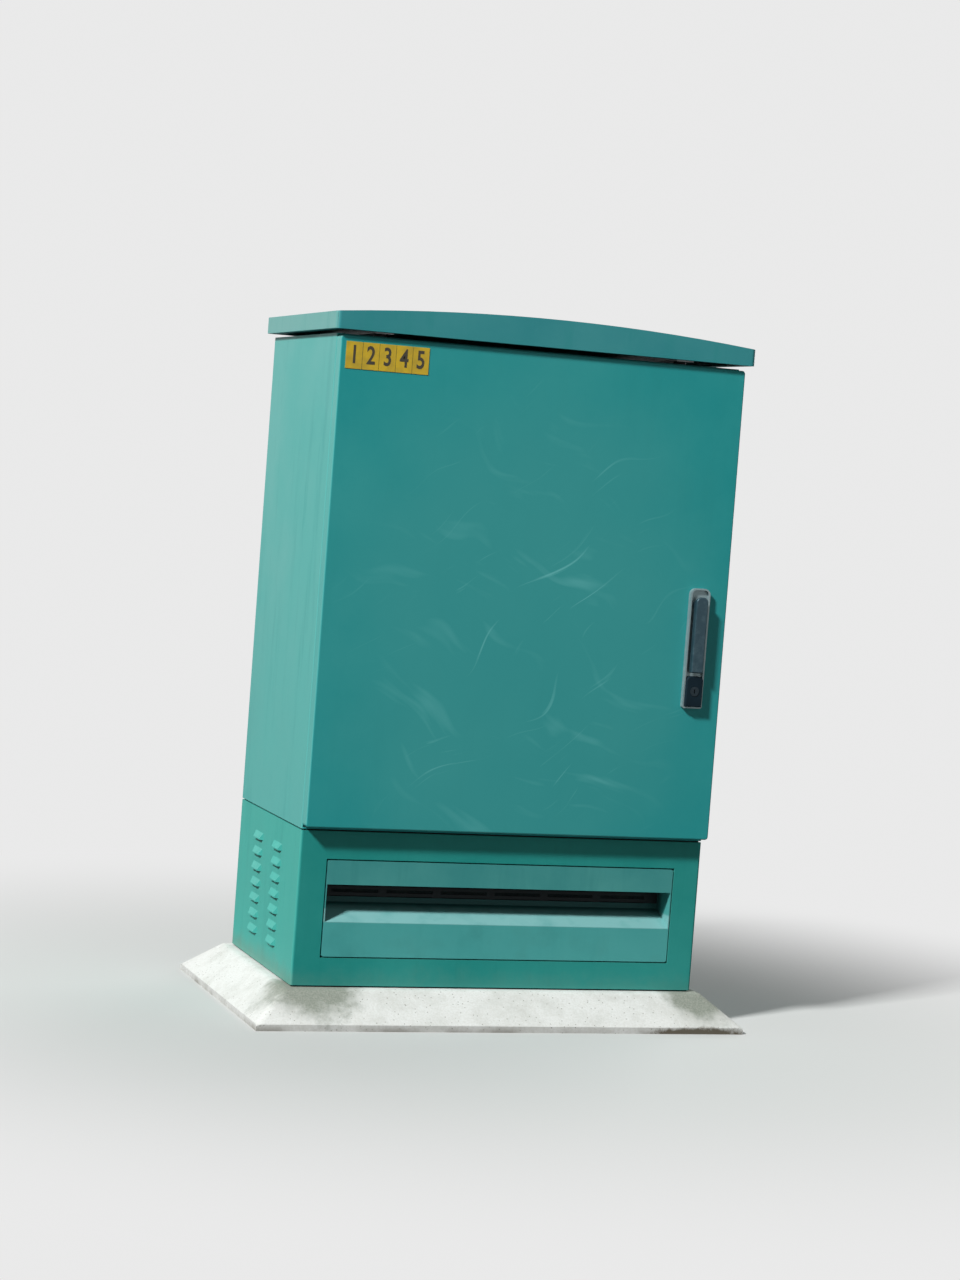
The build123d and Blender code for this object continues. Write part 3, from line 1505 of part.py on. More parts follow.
# Fan panel: two axial fans in square rings behind a panel with spoked guards
with BuildPart() as fan_panel:
    with BuildSketch(at_y(rack_front)):
        with Locations((0, fan_z)):
            Rectangle(rack_panel_width, fan_units * rack_unit - panel_gap)
            with GridLocations(2 * fan_x, 0, 2, 1):
                Circle(fan_bore / 2, mode=Mode.SUBTRACT)
                Circle(guard_ring_radius)
                Circle(guard_ring_radius - guard_bar, mode=Mode.SUBTRACT)
                Rectangle(fan_bore + guard_bar, guard_bar)
                Rectangle(guard_bar, fan_bore + guard_bar)
                Circle(fan_hub_radius)
        for unit in (fan_first_unit, fan_first_unit + fan_units - 1):
            with Locations((0, unit_z(unit))):
                with GridLocations(rack_hole_spacing, 0, 2, 1):
                    Circle(rack_hole_radius, mode=Mode.SUBTRACT)
    extrude(amount=panel_thickness)
    with BuildSketch(at_y(rack_front)):
        with Locations((0, fan_z)):
            with GridLocations(2 * fan_x, 0, 2, 1):
                Rectangle(fan_size, fan_size)
                Circle(fan_bore / 2, mode=Mode.SUBTRACT)
    extrude(amount=-fan_depth)
    with BuildSketch(at_y(rack_front + fan_depth)):
        with Locations((0, fan_z)):
            with GridLocations(2 * fan_x, 0, 2, 1):
                Circle(fan_hub_radius)
                Rectangle(fan_bore + guard_bar, guard_bar)
                Rectangle(guard_bar, fan_bore + guard_bar)
    extrude(amount=fan_spider)
fan_panel.part.label = "fan_panel"
export_step(fan_panel.part, "parts/fan_panel.step")


def fan_rotor(x):
    """A hub with pitched blades that turns about Y."""
    hub_front = rack_front + fan_hub_gap
    hub_depth = fan_depth - fan_hub_gap - fan_spider - turn_gap
    with BuildPart() as rotor:
        with BuildSketch(Plane(origin=(x, hub_front, fan_z), x_dir=(1, 0, 0), z_dir=(0, -1, 0))):
            Circle(fan_hub_radius)
        extrude(amount=-hub_depth)
        for blade in range(fan_blades):
            turn = math.radians(360 / fan_blades * blade)
            lean = math.radians(blade_pitch_angle)
            out = Vector(math.cos(turn), 0, math.sin(turn))
            across = Vector(-math.sin(turn), 0, math.cos(turn))
            chord_dir = across * math.cos(lean) + Vector(0, 1, 0) * math.sin(lean)
            root = Vector(x, hub_front + hub_depth / 2, fan_z) + out * (fan_hub_radius - blade_thickness)
            chord_path = [(-blade_chord / 2, 0), (0, -blade_camber), (blade_chord / 2, 0)]
            with BuildSketch(Plane(origin=root, x_dir=chord_dir, z_dir=out)):
                with BuildLine():
                    Polyline(*folded_outline(chord_path, blade_thickness), close=True)
                make_face()
            extrude(amount=fan_bore / 2 - blade_tip_gap - fan_hub_radius + blade_thickness)
    return rotor.part


fan_rotor_left = fan_rotor(-fan_x)
fan_rotor_left.label = "fan_rotor_left"
export_step(fan_rotor_left, "parts/fan_rotor_left.step")

fan_rotor_right = fan_rotor(fan_x)
fan_rotor_right.label = "fan_rotor_right"
export_step(fan_rotor_right, "parts/fan_rotor_right.step")

# Equipment case: a chassis open at the back behind a vented panel with two bow handles
case_z = rack_bottom + (case_first_unit - 1 + case_units / 2) * rack_unit
case_panel_height = case_units * rack_unit - panel_gap
chassis_height = case_panel_height - 4 * panel_gap
with BuildPart() as equipment_case:
    with BuildSketch(at_y(rack_front)):
        with Locations((0, case_z)):
            Rectangle(rack_panel_width, case_panel_height)
    extrude(amount=panel_thickness)
    with BuildSketch(at_y(rack_front)):
        with Locations((0, case_z)):
            Rectangle(chassis_width, chassis_height)
            Rectangle(chassis_width - 2 * thin_sheet, chassis_height - 2 * thin_sheet, mode=Mode.SUBTRACT)
    extrude(amount=-chassis_depth)
    with BuildSketch(at_y(rack_front)):
        with Locations((-chassis_width / 4, case_z)):
            with GridLocations(vent_pitch, 0, vent_count, 1):
                SlotOverall(vent_length, vent_width, rotation=90)
        for unit in (case_first_unit, case_first_unit + case_units - 1):
            with Locations((0, unit_z(unit))):
                with GridLocations(rack_hole_spacing, 0, 2, 1):
                    Circle(rack_hole_radius)
    extrude(amount=panel_thickness, mode=Mode.SUBTRACT)
    for side in (-1, 1):
        with BuildSketch(Plane.YZ.offset(side * bow_x - bow_bar / 2)):
            with Locations((rack_front - panel_thickness - bow_reach / 2, case_z)):
                Rectangle(bow_reach, bow_height)
                with Locations((bow_bar / 2, 0)):
                    Rectangle(bow_reach, bow_height - 2 * bow_bar, mode=Mode.SUBTRACT)
        extrude(amount=bow_bar)
equipment_case.part.label = "equipment_case"
export_step(equipment_case.part, "parts/equipment_case.step")

# Hexagon screws that hold the rack panels to the posts
with BuildPart() as panel_screws:
    panel_runs = (
        (terminal_first_unit, terminal_units, thin_sheet),
        (fan_first_unit, fan_units, panel_thickness),
        (case_first_unit, case_units, panel_thickness),
    )
    for first_unit, units, skin in panel_runs:
        for unit in (first_unit, first_unit + units - 1):
            for side in (-1, 1):
                with Locations((side * rack_hole_spacing / 2, rack_front - skin, unit_z(unit))):
                    add(screw(skin + 3 * post_wall, screw_radius, screw_head_radius, screw_head))
panel_screws.part.label = "panel_screws"
export_step(panel_screws.part, "parts/panel_screws.step")

# Earth bar on two insulators in front of the posts
earth_z = unit_z(2)
with BuildPart() as earth_insulators:
    with BuildSketch(at_y(rack_front)):
        with Locations((0, earth_z)):
            with GridLocations(rack_hole_spacing, 0, 2, 1):
                RegularPolygon(insulator_radius, hex_sides)
    extrude(amount=insulator_depth)
earth_insulators.part.label = "earth_insulators"
export_step(earth_insulators.part, "parts/earth_insulators.step")

with BuildPart() as earth_bar:
    with BuildSketch(at_y(rack_front - insulator_depth)):
        with Locations((0, earth_z)):
            Rectangle(earth_bar_length, earth_bar_height)
            with GridLocations(earth_screw_pitch, 0, earth_screw_count, 1):
                Circle(earth_screw_radius + screw_clearance, mode=Mode.SUBTRACT)
    extrude(amount=earth_bar_thickness)
earth_bar.part.label = "earth_bar"
export_step(earth_bar.part, "parts/earth_bar.step")

with BuildPart() as earth_screws:
    for index in range(earth_screw_count):
        screw_x = (index - (earth_screw_count - 1) / 2) * earth_screw_pitch
        with Locations((screw_x, rack_front - insulator_depth - earth_bar_thickness, earth_z)):
            add(screw(earth_screw_length, earth_screw_radius, 2 * earth_screw_radius, earth_screw_radius))
earth_screws.part.label = "earth_screws"
export_step(earth_screws.part, "parts/earth_screws.step")

# Slotted cable duct up the left wall
trunk_x = -width / 2 + sheet
trunk_low = body_bottom + trunk_lift
with BuildPart() as cable_duct:
    with BuildSketch(Plane.XY.offset(trunk_low)):
        with Locations((trunk_x + trunk_size / 2, 0)):
            Rectangle(trunk_size, trunk_size)
            Rectangle(trunk_size - 2 * thin_sheet, trunk_size - 2 * thin_sheet, mode=Mode.SUBTRACT)
    extrude(amount=trunk_length)
    with BuildSketch(at_y(-trunk_size / 2)):
        with Locations((trunk_x + trunk_size - trunk_slot_depth / 2, trunk_low + trunk_length / 2)):
            with GridLocations(0, trunk_length / trunk_slots, 1, trunk_slots):
                Rectangle(trunk_slot_depth, trunk_slot_height)
    extrude(amount=-trunk_size, mode=Mode.SUBTRACT)
cable_duct.part.label = "cable_duct"
export_step(cable_duct.part, "parts/cable_duct.step")
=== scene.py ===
"""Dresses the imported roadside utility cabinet: finishes, tile numbers, a filter mat and a stage."""

import math

import bpy
from bpy.props import FloatProperty, FloatVectorProperty, PointerProperty, StringProperty
from mathutils import Matrix, Vector


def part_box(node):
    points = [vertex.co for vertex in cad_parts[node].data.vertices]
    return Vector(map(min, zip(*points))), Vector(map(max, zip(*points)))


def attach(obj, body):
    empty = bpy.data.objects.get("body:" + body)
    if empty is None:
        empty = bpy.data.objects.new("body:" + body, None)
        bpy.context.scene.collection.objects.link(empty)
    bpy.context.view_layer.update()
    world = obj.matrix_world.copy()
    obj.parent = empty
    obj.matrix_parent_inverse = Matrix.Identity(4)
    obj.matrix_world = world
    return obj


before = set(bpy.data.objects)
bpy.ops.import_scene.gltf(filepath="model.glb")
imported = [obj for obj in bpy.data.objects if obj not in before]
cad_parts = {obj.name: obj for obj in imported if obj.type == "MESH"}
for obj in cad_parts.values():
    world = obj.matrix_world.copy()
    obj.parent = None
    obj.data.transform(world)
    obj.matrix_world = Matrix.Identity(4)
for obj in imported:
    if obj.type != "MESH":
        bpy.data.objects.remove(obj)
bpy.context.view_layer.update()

bl_info = {
    "name": "Roadside Utility Cabinet",
    "version": (1, 0, 0),
    "blender": (4, 5, 0),
    "location": "View3D > Sidebar > Cabinet",
    "description": "Finishes, number tiles and small fittings for a sheet-steel street cabinet",
    "category": "Object",
}

MM = 0.001
# SUNWARD points towards the key lamp; faces turned to it get a paler coat, partly painted sunlight.
SUNWARD = (-0.75, 0.0, 0.66)
LEFTWARD = (-1.0, 0.0, 0.0)


def linear(hex_value):
    """A linear RGBA colour from an sRGB hex value."""
    channels = [int(hex_value.lstrip("#")[place : place + 2], 16) / 255 for place in (0, 2, 4)]
    return tuple(c / 12.92 if c <= 0.04045 else ((c + 0.055) / 1.055) ** 2.4 for c in channels) + (1.0,)


def add_node(tree, kind, **settings):
    """Adds a node with its settings and links, and gives its first output.

    Lower-case settings are the node's properties. The others are its inputs, each given a value
    or another node's output.
    """
    node = tree.nodes.new(kind)
    sockets = {socket.identifier.replace(" ", "_"): socket for socket in node.inputs}
    for name, value in settings.items():
        if name[0].islower():
            setattr(node, name, value)
        elif isinstance(value, bpy.types.NodeSocket):
            tree.links.new(value, sockets[name])
        else:
            sockets[name].default_value = value
    return next(output for output in node.outputs if output.enabled)


def new_finish(name, **shader):
    """An empty material: its tree, its shader and the object coordinates."""
    material = bpy.data.materials.new(name)
    material.use_nodes = True
    tree = material.node_tree
    surface = tree.nodes["Principled BSDF"]
    for socket, value in shader.items():
        surface.inputs[socket.replace("_", " ")].default_value = value
    place = add_node(tree, "ShaderNodeTexCoord").node.outputs["Object"]
    return material, tree, surface, place


def clouded(tree, place, under, over, size, low, high, most=1.0, detail=5, rough=0.5):
    """Lays a colour over another in clouds, and gives the new colour and how strong the clouds are.

    size is the clouds' real size. The noise shows from low, reaches its most at high, and has a
    finer edge with more detail and roughness.
    """
    noise = add_node(
        tree, "ShaderNodeTexNoise", Vector=place, Scale=1 / size, Detail=detail, Roughness=rough
    )
    clouds = add_node(tree, "ShaderNodeMapRange", Value=noise, From_Min=low, From_Max=high, To_Max=most)
    colour = add_node(
        tree, "ShaderNodeMix", data_type="RGBA", Factor_Float=clouds, A_Color=under, B_Color=over
    )
    return colour, clouds


def grained(tree, surface, place, size, detail, strength, depth):
    """Gives a surface a fine relief, its grain and its depth in real sizes."""
    grain = add_node(tree, "ShaderNodeTexNoise", Vector=place, Scale=1 / size, Detail=detail)
    relief = add_node(tree, "ShaderNodeBump", Height=grain, Strength=strength, Distance=depth)
    tree.links.new(relief, surface.inputs["Normal"])


def powder_coat(name, paint, faded, grime, chalk_and_sunlight=None, rough=0.5, stain=0.35):
    """Polyester powder coat, sprayed on steel and baked: fine orange peel, clouds and rain streaks.

    Where a chalk-and-sunlight colour is given, the faces turned towards the key lamp get it: partly
    chalking of the coat, partly painted sunlight.
    """
    material, tree, surface, place = new_finish(name, Specular_IOR_Level=0.25)
    base, fade = clouded(
        tree, place, linear(paint), linear(faded), 260 * MM, 0.38, 0.68, most=0.8, rough=0.6
    )
    # Painted light: faces turned towards the key lamp are made paler, partly for chalking and partly as
    # painted sunlight.
    if chalk_and_sunlight:
        facing = place.node.outputs["Normal"]
        sunward = add_node(
            tree, "ShaderNodeVectorMath", operation="DOT_PRODUCT", Vector=facing, Vector_001=SUNWARD
        )
        chalked = add_node(
            tree, "ShaderNodeMapRange", Value=sunward, From_Min=0.25, From_Max=0.7, To_Max=0.9
        )
        base = add_node(
            tree,
            "ShaderNodeMix",
            data_type="RGBA",
            Factor_Float=chalked,
            A_Color=base,
            B_Color=linear(chalk_and_sunlight),
        )
    # Rain streaks: noise drawn out about eight times in height.
    upright = add_node(tree, "ShaderNodeMapping", Vector=place, Scale=(1.0, 1.0, 0.12))
    base, _ = clouded(
        tree, upright, base, linear(grime), 34 * MM, 0.52, 0.78, most=stain, detail=4, rough=0.7
    )
    # Specks of chalk, drawn coarser than they are, so that they show.
    base, _ = clouded(tree, place, base, linear(faded), 5 * MM, 0.68, 0.8, most=0.3, detail=2)
    tree.links.new(base, surface.inputs["Base Color"])
    gloss = add_node(
        tree, "ShaderNodeMapRange", Value=fade, From_Max=0.8, To_Min=rough - 0.05, To_Max=rough + 0.14
    )
    tree.links.new(gloss, surface.inputs["Roughness"])
    grained(tree, surface, place, 2.6 * MM, detail=1, strength=0.35, depth=0.12 * MM)
    return material


def opened_coat(material):
    """A coat's tree, shader, object coordinates and colour so far, to lay more on top of it."""
    tree = material.node_tree
    surface = tree.nodes["Principled BSDF"]
    place = tree.nodes["Texture Coordinate"].outputs["Object"]
    return tree, surface, place, surface.inputs["Base Color"].links[0].from_socket


def scuffed_coat(settings):
    """The door's powder coat: greyer in its middle, with soft smears and short dry scratches."""
    # The door's faces turned to the key lamp get a paler coat: partly chalking, partly painted sunlight.
    material = powder_coat(
        "door_powder_coat", settings.paint, settings.faded, settings.grime, settings.chalk_and_sunlight, stain=0.22
    )
    tree, surface, place, base = opened_coat(material)
    low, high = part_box("door_shell")
    # The worn patch is an oval a little below the middle, its edge broken by slow noise.
    below_centre = 120 * MM
    middle = (Vector(low) + Vector(high)) / 2 - Vector((0, 0, below_centre))
    centred = add_node(tree, "ShaderNodeMapping", Vector=place, Location=-middle)
    oval = add_node(
        tree, "ShaderNodeVectorMath", operation="MULTIPLY", Vector=centred, Vector_001=(1.15, 0.0, 0.75)
    )
    reach = add_node(tree, "ShaderNodeVectorMath", operation="LENGTH", Vector=oval)
    drift = add_node(tree, "ShaderNodeTexNoise", Vector=place, Scale=1 / (180 * MM), Detail=4)
    reach = add_node(
        tree, "ShaderNodeMath", operation="MULTIPLY_ADD", Value=drift, Value_001=0.16, Value_002=reach
    )
    worn = add_node(
        tree,
        "ShaderNodeMapRange",
        interpolation_type="SMOOTHSTEP",
        Value=reach,
        From_Min=0.64,
        From_Max=0.32,
        To_Max=0.66,
    )
    base = add_node(
        tree,
        "ShaderNodeMix",
        data_type="RGBA",
        Factor_Float=worn,
        A_Color=base,
        B_Color=linear(settings.worn),
    )
    area = add_node(
        tree, "ShaderNodeMapRange", Value=reach, From_Min=0.5, From_Max=0.3, To_Max=settings.scuffs
    )
    # Scuffs lie on the outer face only.
    depth = add_node(tree, "ShaderNodeSeparateXYZ", Vector=place).node.outputs["Y"]
    outer_face = low[1]
    outside = add_node(
        tree,
        "ShaderNodeMapRange",
        Value=depth,
        From_Min=outer_face + 1 * MM,
        From_Max=outer_face + 0.5 * MM,
    )
    area = add_node(tree, "ShaderNodeMath", operation="MULTIPLY", Value=area, Value_001=outside)
    # Slow eddies bend the strokes.
    eddies = add_node(tree, "ShaderNodeTexNoise", Vector=place, Scale=1 / (240 * MM), Detail=1)
    bent = add_node(
        tree,
        "ShaderNodeVectorMath",
        operation="MULTIPLY_ADD",
        Vector=eddies.node.outputs["Color"],
        Vector_001=(0.2, 0.0, 0.2),
        Vector_002=centred,
    )
    # Each kind of stroke: its lean in degrees, its width and length in millimetres, and the range
    # of the noise that shows as a mark.
    scratched = linear("#86dcda")
    smears = (28, 36, 190, 0.58, 0.95)
    scratches = (-38, 9, 200, 0.65, 0.8)
    for lean, width, length, low_cut, high_cut in (smears, scratches):
        turned = add_node(
            tree,
            "ShaderNodeMapping",
            vector_type="TEXTURE",
            Vector=bent,
            Rotation=(0, math.radians(lean), 0),
            Scale=(length * MM, 1.0, width * MM),
        )
        strokes = add_node(tree, "ShaderNodeTexNoise", Vector=turned, Scale=1.0, Detail=2)
        rubbed = add_node(tree, "ShaderNodeMapRange", Value=strokes, From_Min=low_cut, From_Max=high_cut)
        rubbed = add_node(tree, "ShaderNodeMath", operation="MULTIPLY", Value=rubbed, Value_001=area)
        base = add_node(
            tree, "ShaderNodeMix", data_type="RGBA", Factor_Float=rubbed, A_Color=base, B_Color=scratched
        )
    tree.links.new(base, surface.inputs["Base Color"])
    return material


def dusty_coat(settings):
    """The cover's greyer powder coat: pale dust on the sloped ledge, and painted shade deep in the slot."""
    material = powder_coat(
        "cover_powder_coat", settings.cover, faded="#55a5a0", grime="#2f8280", stain=0.5
    )
    tree, surface, place, base = opened_coat(material)
    low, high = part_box("louvre_cover")
    # The ledge starts at a fold above the apron, and slopes up and back into the slot.
    apron_share = 0.36
    fold = low[2] + apron_share * (high[2] - low[2])
    ledge_rise = 29 * MM
    ledge_top = fold + ledge_rise
    # Where the painted shade in the slot starts, and where it is full.
    slot_shade_starts = low[1] + 36 * MM
    slot_shade_full = low[1] + 56 * MM
    # Pale dust lies on the ledge, between its fold and its top.
    height = add_node(tree, "ShaderNodeSeparateXYZ", Vector=place).node.outputs["Z"]
    above_fold = add_node(
        tree,
        "ShaderNodeMapRange",
        Value=height,
        From_Min=fold - 1.5 * MM,
        From_Max=fold + 1 * MM,
        To_Max=0.95,
    )
    below_top = add_node(
        tree, "ShaderNodeMapRange", Value=height, From_Min=ledge_top - 2 * MM, From_Max=ledge_top - 6 * MM
    )
    settled = add_node(tree, "ShaderNodeMath", operation="MULTIPLY", Value=above_fold, Value_001=below_top)
    drift = add_node(tree, "ShaderNodeTexNoise", Vector=place, Scale=1 / (40 * MM), Detail=5)
    patchy = add_node(tree, "ShaderNodeMapRange", Value=drift, From_Min=0.2, From_Max=0.5, To_Min=0.5)
    settled = add_node(tree, "ShaderNodeMath", operation="MULTIPLY", Value=settled, Value_001=patchy)
    # A thinner film of it has run down over the apron.
    film = add_node(
        tree,
        "ShaderNodeMapRange",
        Value=height,
        From_Min=fold + 1 * MM,
        From_Max=fold - 1.5 * MM,
        To_Max=0.6,
    )
    film = add_node(tree, "ShaderNodeMath", operation="MULTIPLY", Value=film, Value_001=patchy)
    base = add_node(
        tree, "ShaderNodeMix", data_type="RGBA", Factor_Float=film, A_Color=base, B_Color=linear("#50b1ae")
    )
    base = add_node(
        tree,
        "ShaderNodeMix",
        data_type="RGBA",
        Factor_Float=settled,
        A_Color=base,
        B_Color=linear(settings.dust),
    )
    # Painted shade: the coat darkens with depth into the slot, where shade falls.
    depth = add_node(tree, "ShaderNodeSeparateXYZ", Vector=place).node.outputs["Y"]
    painted_slot_shade = add_node(
        tree, "ShaderNodeMapRange", Value=depth, From_Min=slot_shade_starts, From_Max=slot_shade_full, To_Max=0.75
    )
    base = add_node(
        tree, "ShaderNodeMix", data_type="RGBA", Factor_Float=painted_slot_shade, A_Color=base, B_Color=linear("#142a2d")
    )
    tree.links.new(base, surface.inputs["Base Color"])
    return material


def splashed_coat(settings):
    """The base's greener powder coat, with thin grey dirt splashed up from the plinth."""
    # The base's faces turned to the key lamp get a paler coat: partly chalking, partly painted sunlight.
    material = powder_coat(
        "green_powder_coat",
        settings.base,
        faded="#329b93",
        grime="#1a8079",
        chalk_and_sunlight=settings.base_chalk_and_sunlight,
    )
    tree, surface, place, base = opened_coat(material)
    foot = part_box("base_shell")[0][2]
    # The dirt's edge is ragged, a few centimetres over the foot, and it is thickest on the left.
    height = add_node(tree, "ShaderNodeSeparateXYZ", Vector=place).node.outputs["Z"]
    spatter = add_node(
        tree, "ShaderNodeTexNoise", Vector=place, Scale=1 / (45 * MM), Detail=6, Roughness=0.7
    )
    rise = add_node(
        tree,
        "ShaderNodeMath",
        operation="MULTIPLY_ADD",
        Value=spatter,
        Value_001=-70 * MM,
        Value_002=height,
    )
    dirt = add_node(
        tree,
        "ShaderNodeMapRange",
        interpolation_type="SMOOTHSTEP",
        Value=rise,
        From_Min=foot + 8 * MM,
        From_Max=foot - 40 * MM,
        To_Max=0.7,
    )
    facing = place.node.outputs["Normal"]
    leftward = add_node(
        tree, "ShaderNodeVectorMath", operation="DOT_PRODUCT", Vector=facing, Vector_001=LEFTWARD
    )
    weather_side = add_node(tree, "ShaderNodeMapRange", Value=leftward, To_Min=0.3)
    dirt = add_node(tree, "ShaderNodeMath", operation="MULTIPLY", Value=dirt, Value_001=weather_side)
    base = add_node(
        tree,
        "ShaderNodeMix",
        data_type="RGBA",
        Factor_Float=dirt,
        A_Color=base,
        B_Color=linear(settings.dirt),
    )
    tree.links.new(base, surface.inputs["Base Color"])
    return material


def cast_concrete(settings):
    """Whitewashed cast concrete: chalky and pored, with grey patches and earth along its foot."""
    material, tree, surface, place = new_finish(
        "whitewashed_concrete", Roughness=0.88, Specular_IOR_Level=0.3
    )
    worn = add_node(tree, "ShaderNodeTexNoise", Vector=place, Scale=1 / (70 * MM), Detail=6, Roughness=0.7)
    patches = add_node(tree, "ShaderNodeMapRange", Value=worn, From_Min=0.45, From_Max=0.72, To_Max=0.5)
    base = add_node(
        tree,
        "ShaderNodeMix",
        data_type="RGBA",
        Factor_Float=patches,
        A_Color=linear(settings.whitewash),
        B_Color=linear(settings.bare),
    )
    low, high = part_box("plinth")
    # Damp spots: along and across the plinth from its front left corner, and how far each reaches.
    front_left = (120, 88, 115, 90)
    front_right = (890, 70, 85, 85)
    back_right = (850, 420, 160, 120)
    for along, across, reach_x, reach_y in (front_left, front_right, back_right):
        spot = Vector((low[0] + along * MM, low[1] + across * MM, 0))
        centred = add_node(tree, "ShaderNodeMapping", Vector=place, Location=-spot)
        spread = add_node(
            tree,
            "ShaderNodeVectorMath",
            operation="MULTIPLY",
            Vector=centred,
            Vector_001=(1 / (reach_x * MM), 1 / (reach_y * MM), 0),
        )
        reach = add_node(tree, "ShaderNodeVectorMath", operation="LENGTH", Vector=spread)
        edge = add_node(
            tree, "ShaderNodeMath", operation="MULTIPLY_ADD", Value=worn, Value_001=1.5, Value_002=reach
        )
        damp = add_node(
            tree,
            "ShaderNodeMapRange",
            interpolation_type="SMOOTHSTEP",
            Value=edge,
            From_Min=1.8,
            From_Max=1.2,
            To_Max=0.95,
        )
        base = add_node(
            tree,
            "ShaderNodeMix",
            data_type="RGBA",
            Factor_Float=damp,
            A_Color=base,
            B_Color=linear(settings.damp),
        )
    base, grit = clouded(
        tree, place, base, linear("#c2c2b8"), 3.5 * MM, 0.35, 0.75, most=0.35, detail=2
    )
    # Earth has splashed on the low edge.
    height = add_node(tree, "ShaderNodeSeparateXYZ", Vector=place).node.outputs["Z"]
    low_edge = add_node(
        tree, "ShaderNodeMapRange", Value=height, From_Min=14 * MM, From_Max=1 * MM, To_Max=0.6
    )
    blots = add_node(tree, "ShaderNodeTexNoise", Vector=place, Scale=1 / (90 * MM), Detail=6)
    splashed = add_node(tree, "ShaderNodeMapRange", Value=blots, From_Min=0.4, From_Max=0.62)
    splash = add_node(tree, "ShaderNodeMath", operation="MULTIPLY", Value=low_edge, Value_001=splashed)
    # A low heap of earth lies at the front right corner.
    heap_middle = Vector((high[0] - 90 * MM, low[1] + 6 * MM, 0))
    centred = add_node(tree, "ShaderNodeMapping", Vector=place, Location=-heap_middle)
    flat = add_node(
        tree, "ShaderNodeVectorMath", operation="MULTIPLY", Vector=centred, Vector_001=(0.3, 0.8, 2.4)
    )
    reach = add_node(tree, "ShaderNodeVectorMath", operation="LENGTH", Vector=flat)
    crumbs = add_node(
        tree, "ShaderNodeTexNoise", Vector=place, Scale=1 / (18 * MM), Detail=5, Roughness=0.7
    )
    ragged = add_node(
        tree, "ShaderNodeMath", operation="MULTIPLY_ADD", Value=crumbs, Value_001=0.045, Value_002=reach
    )
    heap = add_node(tree, "ShaderNodeMapRange", Value=ragged, From_Min=60 * MM, From_Max=46 * MM)
    earth = add_node(tree, "ShaderNodeMath", operation="MAXIMUM", Value=splash, Value_001=heap)
    base = add_node(
        tree,
        "ShaderNodeMix",
        data_type="RGBA",
        Factor_Float=earth,
        A_Color=base,
        B_Color=linear(settings.soil),
    )
    cells = add_node(tree, "ShaderNodeTexVoronoi", Vector=place, Scale=1 / (9 * MM))
    pores = add_node(tree, "ShaderNodeMapRange", Value=cells, From_Min=0.05, From_Max=0.16)
    base = add_node(
        tree, "ShaderNodeMix", data_type="RGBA", Factor_Float=pores, A_Color=linear("#8b8a80"), B_Color=base
    )
    tree.links.new(base, surface.inputs["Base Color"])
    height = add_node(tree, "ShaderNodeMath", operation="ADD", Value=pores, Value_001=grit)
    relief = add_node(tree, "ShaderNodeBump", Height=height, Strength=0.6, Distance=0.6 * MM)
    tree.links.new(relief, surface.inputs["Normal"])
    return material


def plated_steel(name="zinc_plated_steel", dull="#a9adb0", bright="#c3c6c8"):
    """Small steel parts, barrel plated and passivated: a soft sheen with a fine crystalline mottle."""
    material, tree, surface, place = new_finish(name, Metallic=1.0)
    # The crystals are drawn coarser than they are, so that they show.
    base, mottle = clouded(tree, place, linear(dull), linear(bright), 9 * MM, 0.3, 0.7, detail=3)
    tree.links.new(base, surface.inputs["Base Color"])
    gloss = add_node(tree, "ShaderNodeMapRange", Value=mottle, To_Min=0.3, To_Max=0.46)
    tree.links.new(gloss, surface.inputs["Roughness"])
    relief = add_node(tree, "ShaderNodeBump", Height=mottle, Strength=0.4, Distance=0.02 * MM)
    tree.links.new(relief, surface.inputs["Normal"])
    return material


def mill_aluminium():
    """Rolled aluminium sheet as it leaves the mill, with faint lines across its width."""
    material, tree, surface, place = new_finish("mill_aluminium", Metallic=1.0)
    # The rolled lines are noise drawn out 25 times in width, coarser than they are, so that they show.
    wide = add_node(tree, "ShaderNodeMapping", Vector=place, Scale=(0.04, 1.0, 1.0))
    base, lines = clouded(
        tree, wide, linear("#b4b7b9"), linear("#d0d2d3"), 1.6 * MM, 0.3, 0.7, detail=3
    )
    tree.links.new(base, surface.inputs["Base Color"])
    gloss = add_node(tree, "ShaderNodeMapRange", Value=lines, To_Min=0.26, To_Max=0.42)
    tree.links.new(gloss, surface.inputs["Roughness"])
    return material


def moulded_plastic(name, colour, shade, rough=0.5, shine=0.5):
    """Injection-moulded plastic with a spark-eroded grain: a soft shine, a little uneven in colour."""
    material, tree, surface, place = new_finish(name, Roughness=rough, IOR=1.5, Specular_IOR_Level=shine)
    base, _ = clouded(tree, place, linear(colour), linear(shade), 60 * MM, 0.35, 0.7, detail=3)
    tree.links.new(base, surface.inputs["Base Color"])
    # The grain is drawn coarser than it is, so that it shows.
    grained(tree, surface, place, 1.4 * MM, detail=1, strength=0.35, depth=0.05 * MM)
    return material


def foam_rubber():
    """Closed-cell rubber, extruded and matt, with a fine pore that catches dust."""
    material, tree, surface, place = new_finish("foam_rubber", Roughness=0.85, Specular_IOR_Level=0.25)
    base, _ = clouded(
        tree, place, linear("#15171a"), linear("#2b2e31"), 25 * MM, 0.45, 0.75, detail=4
    )
    tree.links.new(base, surface.inputs["Base Color"])
    # The pores are drawn coarser than they are, so that they show.
    grained(tree, surface, place, 1.2 * MM, detail=2, strength=0.6, depth=0.15 * MM)
    return material


